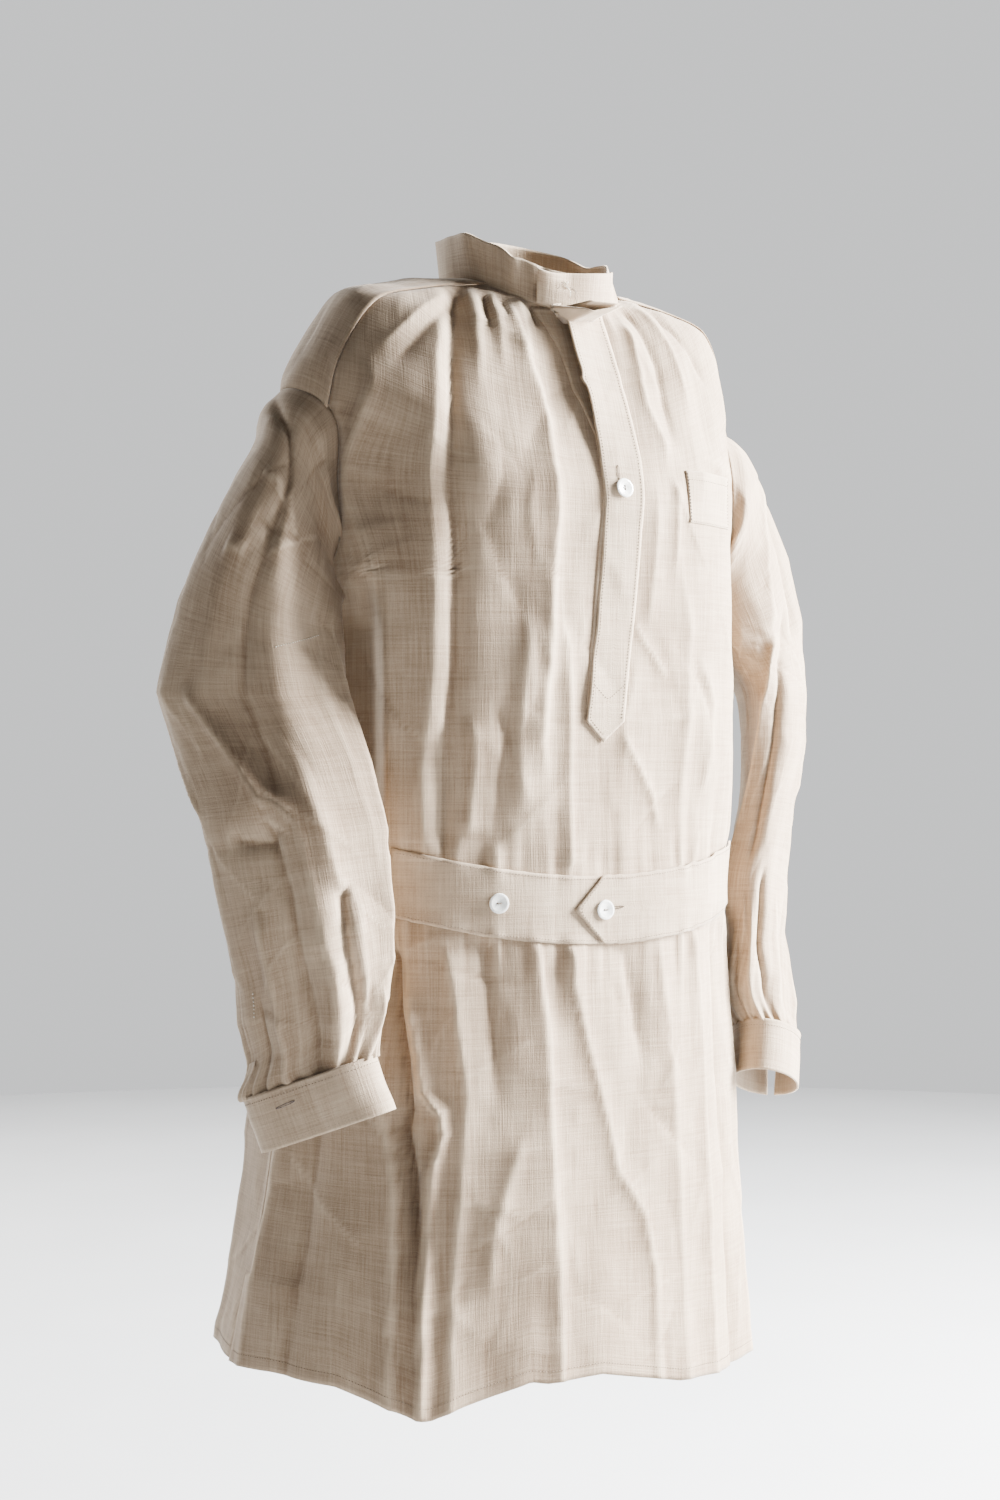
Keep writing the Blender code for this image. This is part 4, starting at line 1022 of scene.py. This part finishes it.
def press(points, v, side):
    """A sleeve moved between its two edges, and flattened towards its middle along the view."""
    across, z = points @ ACROSS, points[..., 2]
    low, high = (np.interp(z, *edges(points, across, v, which)) for which in (True, False))
    share = np.clip((across - low) / (high - low), -0.1, 1.1)
    if side < 0:
        new_low, new_high = np.interp(z, *zip(*RIGHT_EDGE)), np.interp(z, *zip(*RIGHT_INNER_EDGE))
    else:
        new_low, new_high = low, np.interp(z, *zip(*LEFT_EDGE))
    move = new_low + share * (new_high - new_low) - across
    weight = smooth(0.012, 0.085, v) * smooth(SLEEVE_FALL[-1], SLEEVE_FALL[-1] - 0.045, v)
    points = points + (move * weight)[..., None] * ACROSS
    depth = points @ TOWARDS_CAMERA
    middle = depth.mean(1, keepdims=True)
    if side < 0:
        squeeze = 0.25 + 0.45 * smooth(0.62, 1.0, share) + 0.20 * smooth(0.30, 0.0, share)
    else:
        squeeze = 0.20 + 0.25 * smooth(0.62, 1.0, share)
    nearer = (middle - depth) * squeeze * weight * smooth(-0.10, -0.20, z)
    return points + nearer[..., None] * TOWARDS_CAMERA


def sleeve(side, suffix, folds, seed):
    columns = 156
    number = np.interp(np.linspace(0, SLEEVE_FALL[-1], 186), SLEEVE_FALL, SECTIONS)
    turn = np.linspace(-math.pi, math.pi, columns, endpoint=False)
    points = sleeve_grid(number, turn, side)
    normal = outward(points, grid_normals(points, True), points.mean(1, keepdims=True))
    degrees = np.degrees(turn)[None, :] + 0 * number[:, None]
    u, v = flat_place(degrees, number[:, None] + 0 * degrees)
    lift = np.zeros(u.shape)
    for line, height, left, right, fade in folds:
        places = np.stack(flat_place(*np.array(line).T), -1)
        # A fold is drawn downwards, and v grows down the sleeve, so v is turned over.
        lift += fold(places * (1, -1), height * SLEEVE_RISE, left * SLEEVE_REACH, right * SLEEVE_REACH,
                     u, -v, fade)

    def wrapped(field):
        """A field over the flat sleeve, mixed near its join with what it says on the join's other side."""
        width = np.interp(number, SECTIONS, SLEEVE_PERIMETER)[:, None]
        share = np.clip((np.abs(degrees) - 150) / 30, 0, 1)
        return field(u) * (1 - 0.5 * share) + field(u - np.sign(u) * width) * 0.5 * share

    waves = ((.12, .20, .0060), (.055, .09, .0035), (.024, .04, .0011), (.011, .015, .0004))
    lift += wrapped(lambda a: soft_waves(a, v, seed, waves))
    lift += wrapped(lambda a: creases(a, v, seed + 9, 150, 0.08, 0.0026, 0.2))
    noise = Noise(seed + 20)
    below = SLEEVE_FALL[-1] - v
    pleats = wrapped(lambda a: noise(a / 0.016, v * 3) + 0.5 * noise(a / 0.007, v * 4))
    lift += 0.0045 * np.exp(-below / 0.060) * pleats
    lift += 0.0016 * np.exp(-v / 0.030) * wrapped(lambda a: noise(a / 0.020 + 7, v * 3))
    # Above the cuff the gathered cloth pouches.
    lift += (0.010 if side > 0 else 0.003) * np.exp(-((below - 0.045) / 0.032) ** 2)
    lift *= smooth(0, 0.022, v) * smooth(0, 0.016, below)
    lift += 0.0014 * smooth(0.012, 0.0, v)
    points = press(settle(points + normal * lift[..., None]), v, side)
    # The gathered end closes onto the cuff, whose points may run round it the other way.
    level = 0 * degrees[:1]
    rings = [cuff_points(side, way * degrees[:1], level - 0.001, level + 0.0008)[0] for way in (1, -1)]
    end_ring = min(rings, key=lambda ring: np.linalg.norm(ring - points[-1], axis=-1).mean())
    closing = smooth(0.050, 0.006, below)[..., None]
    pucker = (points - points.mean(1, keepdims=True)) * 0.05 * np.sin(degrees * 0.35)[..., None]
    gathered = end_ring[None] + pucker * smooth(0, 0.012, below)[..., None]
    points = points * (1 - closing) + gathered * closing
    flat = np.stack((u, -v), -1)
    thing = cloth("sleeve_cloth_" + suffix, points, flat, LINEN, wrapped=True)
    # Worn paler crests, and painted shade darkening the hollows of the folds.
    set_wear_and_shade(thing, crease_wear_and_shade(lift, 0.0032))
    return thing, points, number, turn


def cuff_points(side, degrees, height, off):
    """Places round a cuff: degrees from its outer edge, height down its axis, off its face."""
    row = CUFF_TOP.copy()
    around = np.radians(degrees + row[9])
    first, second = row[3:6], row[6:9]
    base = row[:3] + height[..., None] * CUFF_AXIS
    cos, sin = np.cos(around)[..., None], np.sin(around)[..., None]
    out = first / (first @ first) * cos + second / (second @ second) * sin
    out = out / np.linalg.norm(out, axis=-1, keepdims=True)
    points = base + first * cos + second * sin + out * off[..., None]
    return drifted(points * (side, 1, 1), CUFF_TOP[2], side)


# The cuff opens at its back corner. Both are in degrees round it.
CUFF_CORNER, CUFF_GAP = -45, 7.5


def cuff(side, suffix, seed):
    degrees = np.linspace(CUFF_CORNER + CUFF_GAP, CUFF_CORNER + 360 - CUFF_GAP, 150)[None, :]
    height = np.linspace(-0.0035, CUFF_HEIGHT, 22)[:, None]
    degrees, height = degrees + 0 * height, height + 0 * degrees
    u = degrees / 360 * 0.26
    off = 0.0022 + soft_waves(u, height, seed, ((.05, .05, .0022), (.02, .02, .0008)))
    off += 0.0010 * np.exp(-(height + 0.0035) / 0.004)
    # One end laps over at the back corner, and its edge lifts.
    off += 0.0030 * smooth(300, 315, degrees) + 0.0015 * smooth(-30, -45, degrees)
    points = cuff_points(side, degrees, height, off)
    thing = cloth("cuff_cloth_" + suffix, points, np.stack((u, -height), -1), LINEN_STRIP, 0.0020)
    edge = 0.20 * smooth(CUFF_HEIGHT - 0.004, CUFF_HEIGHT, height)
    set_wear_and_shade(thing, edge + 0.08 * soft_waves(u, height, seed, ((.01, .01, 1.0),)))
    return thing, points


SLEEVES = {}
for side, suffix, folds, seed in ((1, "left", LEFT_FOLDS, 101), (-1, "right", RIGHT_FOLDS, 131)):
    body = suffix + "_sleeve"
    thing, points, number, turn = sleeve(side, suffix, folds, seed)
    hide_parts("sleeve_" + suffix)
    # The seam lies on the body all round, and the cloth's place is baked into its mesh; the bend towards
    # the arm is given to it.
    seam_x = -0.012 + side * 0.213
    bend = ("smock", body, (seam_x + side * 0.054, 0.010, -0.139), (seam_x + side * 0.136, 0.010, -0.177))
    attach(thing, body, bend)
    wrap, wrap_points = cuff(side, suffix, 160 + side)
    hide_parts("cuff_" + suffix)
    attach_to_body(wrap, body)
    SLEEVES[suffix] = {"points": points, "number": number, "turn": turn, "cuff": wrap_points, "bend": bend}

# The bound slit above each cuff, just behind the sleeve's outer edge.
for side, suffix in SIDES:
    points, number, turn = (SLEEVES[suffix][key] for key in ("points", "number", "turn"))
    rows = np.flatnonzero((number > 7.06) & (number < 7.95))
    columns = np.flatnonzero((np.degrees(turn) > -35) & (np.degrees(turn) < -8))
    part = points[np.ix_(rows, columns)]
    centre = points[rows].mean(1, keepdims=True)
    out = (part - centre) / np.linalg.norm(part - centre, axis=-1, keepdims=True)
    part = part + out * 0.0014
    flat = np.stack(np.meshgrid(np.arange(len(columns)) * 0.0025, np.arange(len(rows)) * -0.0032), -1)
    facing = cloth("vent_facing_" + suffix, part, flat, LINEN_STRIP, 0.0008,
                   inside=centre.reshape(-1, 3).mean(0))
    set_wear_and_shade(facing, np.zeros(part.shape[:2]) + 0.05)
    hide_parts("sleeve_vent_facing_" + suffix)
    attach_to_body(facing, suffix + "_sleeve")

# --------------------------------------------------------------------------- other materials


def plain(name, colour, roughness, second, scale):
    """A plain finish that varies between two colours, with a slightly uneven face."""
    material, tree, shader = shaded(name)
    place = add(tree, "TexCoord", {})
    noise = add(tree, "TexNoise", {"Scale": scale, "Detail": 3.0, "Vector": place.outputs["Object"]})
    fac = noise.outputs["Fac"]
    shader.inputs["Roughness"].default_value = roughness
    finish_material(tree, shader, fac, 0.35, 0.65, colour, second, fac, 0.3, 0.0003)
    return material


SHELL = plain("mother of pearl", (0.80, 0.79, 0.74), 0.22, (0.62, 0.64, 0.62), 420.0)
SHELL.node_tree.nodes["Principled BSDF"].inputs["Coat Weight"].default_value = 0.35
THREAD = plain("sewing thread", (0.20, 0.150, 0.110), 0.75, (0.13, 0.098, 0.070), 1800.0)
DARK_THREAD = plain("dark thread", (0.10, 0.09, 0.10), 0.75, (0.16, 0.13, 0.12), 1800.0)
for name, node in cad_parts.items():
    kind = SHELL if "button" in name else THREAD if "thread" in name else None
    if kind:
        node.data.materials.clear()
        node.data.materials.append(kind)

# ------------------------------------------------------------------------------- stitching


def stitches(name, path, normals, material, pitch=0.0030, share=0.66, width=0.00035, stand=0.0004):
    """A run of top-stitches: one small flattened bead for each stitch along a path on the cloth."""
    path, normals = np.asarray(path), np.asarray(normals)
    arc = np.concatenate(([0], np.cumsum(np.linalg.norm(np.diff(path, axis=0), axis=1))))
    count = max(1, int(arc[-1] / pitch))
    starts = (np.arange(count) + 0.5 * (1 - share)) * arc[-1] / count
    step = share * arc[-1] / count
    verts, faces = [], []

    def at(a):
        return (np.stack([np.interp(a, arc, path[:, k]) for k in range(3)], -1),
                np.stack([np.interp(a, arc, normals[:, k]) for k in range(3)], -1))

    for s in starts:
        p0, n0 = at(s)
        p1, n1 = at(s + step)
        n = n0 + n1
        n = n / np.linalg.norm(n)
        d = p1 - p0
        d = d / np.linalg.norm(d)
        w = np.cross(n, d) * width
        middle = (p0 + p1) / 2
        base = len(verts)
        verts += [p0 + n * stand * 0.2, middle + w + n * stand * 0.6, p1 + n * stand * 0.2,
                  middle - w + n * stand * 0.6, middle + n * (stand + width), middle - n * 0.0002]
        for a, b in ((0, 1), (1, 2), (2, 3), (3, 0)):
            faces += [(base + b, base + a, base + 4), (base + a, base + b, base + 5)]
    thing = make_mesh(name, verts, faces, None, material)
    return thing


def run_on_grid(points, path):
    """A path over a grid of points: fractional (row, column) pairs to places and normals."""
    normal = grid_normals(points)
    rows = np.clip(np.array([p[0] for p in path], float), 0, points.shape[0] - 1)
    columns = np.clip(np.array([p[1] for p in path], float), 0, points.shape[1] - 1)
    r0 = np.minimum(rows.astype(int), points.shape[0] - 2)
    c0 = np.minimum(columns.astype(int), points.shape[1] - 2)
    fr, fc = (rows - r0)[:, None], (columns - c0)[:, None]

    def read(table):
        return ((table[r0, c0] * (1 - fc) + table[r0, c0 + 1] * fc) * (1 - fr)
                + (table[r0 + 1, c0] * (1 - fc) + table[r0 + 1, c0 + 1] * fc) * fr)

    return read(points), read(normal)


def stitch_run(name, points, path, facing, body, material=THREAD, blend=None, **options):
    """Stitches along a path over a grid, on the side of it that looks towards facing."""
    dense = []
    for (r0, c0), (r1, c1) in zip(path[:-1], path[1:]):
        for t in np.linspace(0, 1, max(2, int(2 * max(abs(r1 - r0), abs(c1 - c0)))))[:-1]:
            dense.append((r0 + (r1 - r0) * t, c0 + (c1 - c0) * t))
    dense.append(path[-1])
    places, normals = run_on_grid(points, dense)
    if (normals * (np.asarray(facing) - places)).sum() < 0:
        normals = -normals
    attach(stitches(name, places, normals, material, **options), body, blend)


def row_of_stitches(name, points, row, facing, body):
    """Stitches right across a grid along one row, counted from its top, or from its foot if negative."""
    rows, columns = points.shape[:2]
    row = row if row > 0 else rows + row
    stitch_run(name, points, ((row, 1), (row, columns - 2)), facing, body)


AHEAD = (0.0, -3.0, -0.4)
FLAP = ("smock", "placket_flap", BLEND_START, BLEND_END)
rows, columns = over_points.shape[:2]
inset = 1.6
stitch_run("stitch_placket_sewn", over_points, ((2, columns - 1 - inset), (rows - 3, columns - 1 - inset)),
           AHEAD, "smock", blend=FLAP)
stitch_run("stitch_placket_free", over_points, ((2, inset), (rows - 3, inset), (rows - 3, 10)), AHEAD,
           "smock", blend=FLAP)
stitch_run("stitch_placket_cross", over_points, ((rows - 15, inset), (rows - 15, columns - 1 - inset)),
           AHEAD, "smock")
rows, columns = pocket_points.shape[:2]
stitch_run("stitch_pocket_side", pocket_points, ((1.0, 0.9), (rows - 1.8, 0.9)), AHEAD, "smock",
           DARK_THREAD, width=0.00055, share=0.8)
stitch_run("stitch_pocket", pocket_points,
           ((rows - 1.8, 0.9), (rows - 1.8, columns - 1.9), (1.0, columns - 1.9)), AHEAD, "smock")
stitch_run("stitch_pocket_hem", pocket_points, ((4.5, 1.0), (4.5, columns - 2.0)), AHEAD, "smock")
for name, grid, body in (
    ("belt_under", belt_under_points, "belt_right_half"), ("belt_tab", belt_tab_points, "belt_left_half"),
):
    row_of_stitches("stitch_" + name + "_top", grid, 1.1, AHEAD, body)
    row_of_stitches("stitch_" + name + "_low", grid, -2.1, AHEAD, body)
rows = len(belt_tab_points)
stitch_run("stitch_belt_tab_point", belt_tab_points,
           ((1.1, 1), ((rows - 1) / 2, 1.2), (rows - 2.1, 1)), AHEAD, "belt_left_half")
row_of_stitches("stitch_hem_front", front_points, -3.6, AHEAD, "smock")
row_of_stitches("stitch_hem_back", back_points, -3.2, (0, 3.0, -0.4), "smock")
row_of_stitches("stitch_collar_foot", band_points, 1.2, (0, -3, 0.0), "smock")
for side, suffix in SIDES:
    for place, row in (("top", 2.6), ("low", -3)):
        row_of_stitches(f"stitch_cuff_{place}_{suffix}", SLEEVES[suffix]["cuff"], row,
                        (side * 0.6, -1.5, -0.75), suffix + "_sleeve")

# ---------------------------------------------------------------- camera, lights and floor

# The camera looks from the garment's right, and a little aside from its axis.
CAMERA_TURN = math.radians(32.0)
CAMERA_ASIDE = math.radians(0.64055)
CAMERA_DISTANCE, CAMERA_HEIGHT, CAMERA_LENS = 2.3, -0.44, 57.96
FLOOR_DROP, FLOOR_RADIUS = 0.32, 4.2
camera_data = bpy.data.cameras.new("camera")
camera_data.sensor_fit = "VERTICAL"
camera_data.sensor_height = 36.0
camera_data.lens = CAMERA_LENS
camera = bpy.data.objects.new("camera", camera_data)
bpy.context.scene.collection.objects.link(camera)
camera.location = (
    -CAMERA_DISTANCE * math.sin(CAMERA_TURN), -CAMERA_DISTANCE * math.cos(CAMERA_TURN), CAMERA_HEIGHT)
camera.rotation_euler = (math.radians(90), 0, CAMERA_ASIDE - CAMERA_TURN)
bpy.context.scene.camera = camera


def area_light(name, place, size, energy, colour):
    """A soft light that looks at the garment's middle."""
    data = bpy.data.lights.new(name, "AREA")
    data.shape = "RECTANGLE"
    data.size, data.size_y = size
    data.energy = energy
    data.color = colour
    light = bpy.data.objects.new(name, data)
    bpy.context.scene.collection.objects.link(light)
    light.location = place
    light.rotation_euler = (Vector((0.0, 0.0, -0.5)) - Vector(place)).to_track_quat("-Z", "Y").to_euler()


area_light("window", (2.55, -1.02, 0.50), (1.2, 2.0), 2300.0, (0.985, 0.99, 1.0))
area_light("fill", (-2.6, -1.6, 0.6), (2.0, 2.2), 4.0, (1.0, 0.97, 0.93))
area_light("back", (-1.0, 3.2, 0.8), (2.2, 2.2), 260.0, (1.0, 0.985, 0.96))
world = bpy.data.worlds.new("studio")
world.use_nodes = True
# A paler backdrop is shown to the camera than the one that lights the garment.
tree = world.node_tree
soft_light = feed(tree.nodes["Background"], {"Color": (0.80, 0.80, 0.795, 1), "Strength": 0.21})
backdrop = add(tree, "Background", {"Color": (0.80, 0.81, 0.82, 1), "Strength": 1.15})
seen = add(tree, "LightPath", {}).outputs["Is Camera Ray"]
choice = add(tree, "MixShader", {0: seen, 1: soft_light.outputs[0], 2: backdrop.outputs[0]})
feed(tree.nodes["World Output"], {"Surface": choice.outputs[0]})
bpy.context.scene.world = world

floor_material = plain("floor", (0.46, 0.465, 0.47), 0.9, (0.44, 0.445, 0.45), 3.0)
low = cad_bounds[0][2] - FLOOR_DROP
around = np.linspace(0, 2 * math.pi, 96, endpoint=False)
rim = [(FLOOR_RADIUS * math.cos(a), FLOOR_RADIUS * math.sin(a), low) for a in around]
floor = make_mesh("floor", rim, [range(len(rim))], None, floor_material, False)

# --------------------------------------------------------------------------------- details

PALE_THREAD = plain("pale thread", (0.62, 0.58, 0.50), 0.75, (0.52, 0.47, 0.39), 1800.0)


def buttonhole(name, points, ends, facing, body, material=THREAD, blend=None, half_width=0.0010):
    """A worked buttonhole between two places of a grid: a ring of close stitches."""
    places, normals = run_on_grid(points, ends)
    normal = normals.mean(0) / np.linalg.norm(normals.mean(0))
    if normal @ (np.asarray(facing) - places[0]) < 0:
        normal = -normal
    middle, half = places.mean(0), (places[1] - places[0]) / 2
    side = np.cross(normal, half)
    side = side / np.linalg.norm(side) * half_width
    around = np.linspace(0, 2 * math.pi, 61)[:, None]
    ring = middle + np.cos(around) * half + np.sin(around) * side + normal * 0.0003
    normals = np.repeat(normal[None], len(ring), 0)
    attach(stitches(name, ring, normals, material, pitch=0.0007, share=0.96, width=0.0005), body, blend)


def strand(name, path, radius, material, body):
    """A loose end of thread: a thin five-sided tube along a path."""
    path = np.asarray(path)
    verts, faces = [], []
    for k, place in enumerate(path):
        along = path[min(k + 1, len(path) - 1)] - path[max(k - 1, 0)]
        along = along / np.linalg.norm(along)
        first = np.cross(along, (0.3, 0.9, 0.2))
        first = first / np.linalg.norm(first)
        second = np.cross(along, first)
        for j in range(5):
            a = 2 * math.pi * j / 5
            verts.append(place + radius * (math.cos(a) * first + math.sin(a) * second))
    for k in range(len(path) - 1):
        for j in range(5):
            a, b = 5 * k + j, 5 * k + (j + 1) % 5
            faces.append((a, b, b + 5, a + 5))
    faces += [tuple(range(5))[::-1], tuple(range(5 * len(path) - 5, 5 * len(path)))]
    thing = make_mesh(name, verts, faces, None, material)
    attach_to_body(thing, body)


buttonhole("placket_buttonhole", over_points, ((56.5, 7.6), (61.5, 7.4)), AHEAD, "smock", blend=FLAP)
buttonhole("belt_tab_buttonhole", belt_tab_points, ((10.6, 9.0), (10.2, 14.6)), AHEAD, "belt_left_half")
BESIDE_RIGHT = (-1.3, -2.1, -0.44)
right, left_cuff = SLEEVES["right"], SLEEVES["left"]["cuff"]
columns = left_cuff.shape[1]
buttonhole("cuff_buttonhole_right", right["cuff"], ((7.0, 25), (6.4, 33)), BESIDE_RIGHT, "right_sleeve",
           DARK_THREAD, half_width=0.0008)
buttonhole("cuff_buttonhole_left", left_cuff, ((9, columns - 12), (9, columns - 6)), (1.5, 1.5, -0.7),
           "left_sleeve")

# A darned line crosses the right sleeve, and short tacks close the top of its slit.
stitch_run("darn_right_sleeve", right["points"], ((63, 110), (59, 117), (55, 124)), BESIDE_RIGHT,
           "right_sleeve", PALE_THREAD, right["bend"], pitch=0.0024, share=0.8, width=0.0005, stand=0.0006)
stitch_run("tack_right_sleeve", right["points"], ((154, 79), (161, 78)), BESIDE_RIGHT, "right_sleeve",
           PALE_THREAD, pitch=0.0030, share=0.7, width=0.0007, stand=0.0008)

# The collar's free end has lost its button: a worn hole and loose ends of thread are left.
buttonhole("collar_end_worn_hole", end_points, ((10.4, 17), (8.6, 21)), AHEAD, "placket_flap", PALE_THREAD,
           half_width=0.0016)
# Each loose end's row and column on the collar's end, and how far it swings and drops.
LOOSE_ENDS = (
    (10.2, 15, -.006, .006), (9.4, 18, .004, .011), (8.8, 21, .009, .008), (11.0, 19, -.003, .004),
    (8.2, 23, .005, .013),
)
for k, (row, column, swing, drop) in enumerate(LOOSE_ENDS):
    place, normal = (found[0] for found in run_on_grid(end_points, ((row, column),)))
    normal = normal * (1 if normal[1] < 0 else -1)
    t = np.linspace(0, 1, 12)[:, None]
    path = place + normal * (0.0010 + 0.0035 * np.sin(math.pi * t * 0.8)) + np.array((swing, 0, 0)) * t**1.4
    path = path + np.array((0, 0, -drop)) * t**2 + np.array((0.0010, 0, 0)) * np.sin(9 * t + k)
    strand(f"loose_thread_{k + 1}", path, 0.00028, PALE_THREAD if k % 2 else THREAD, "placket_flap")
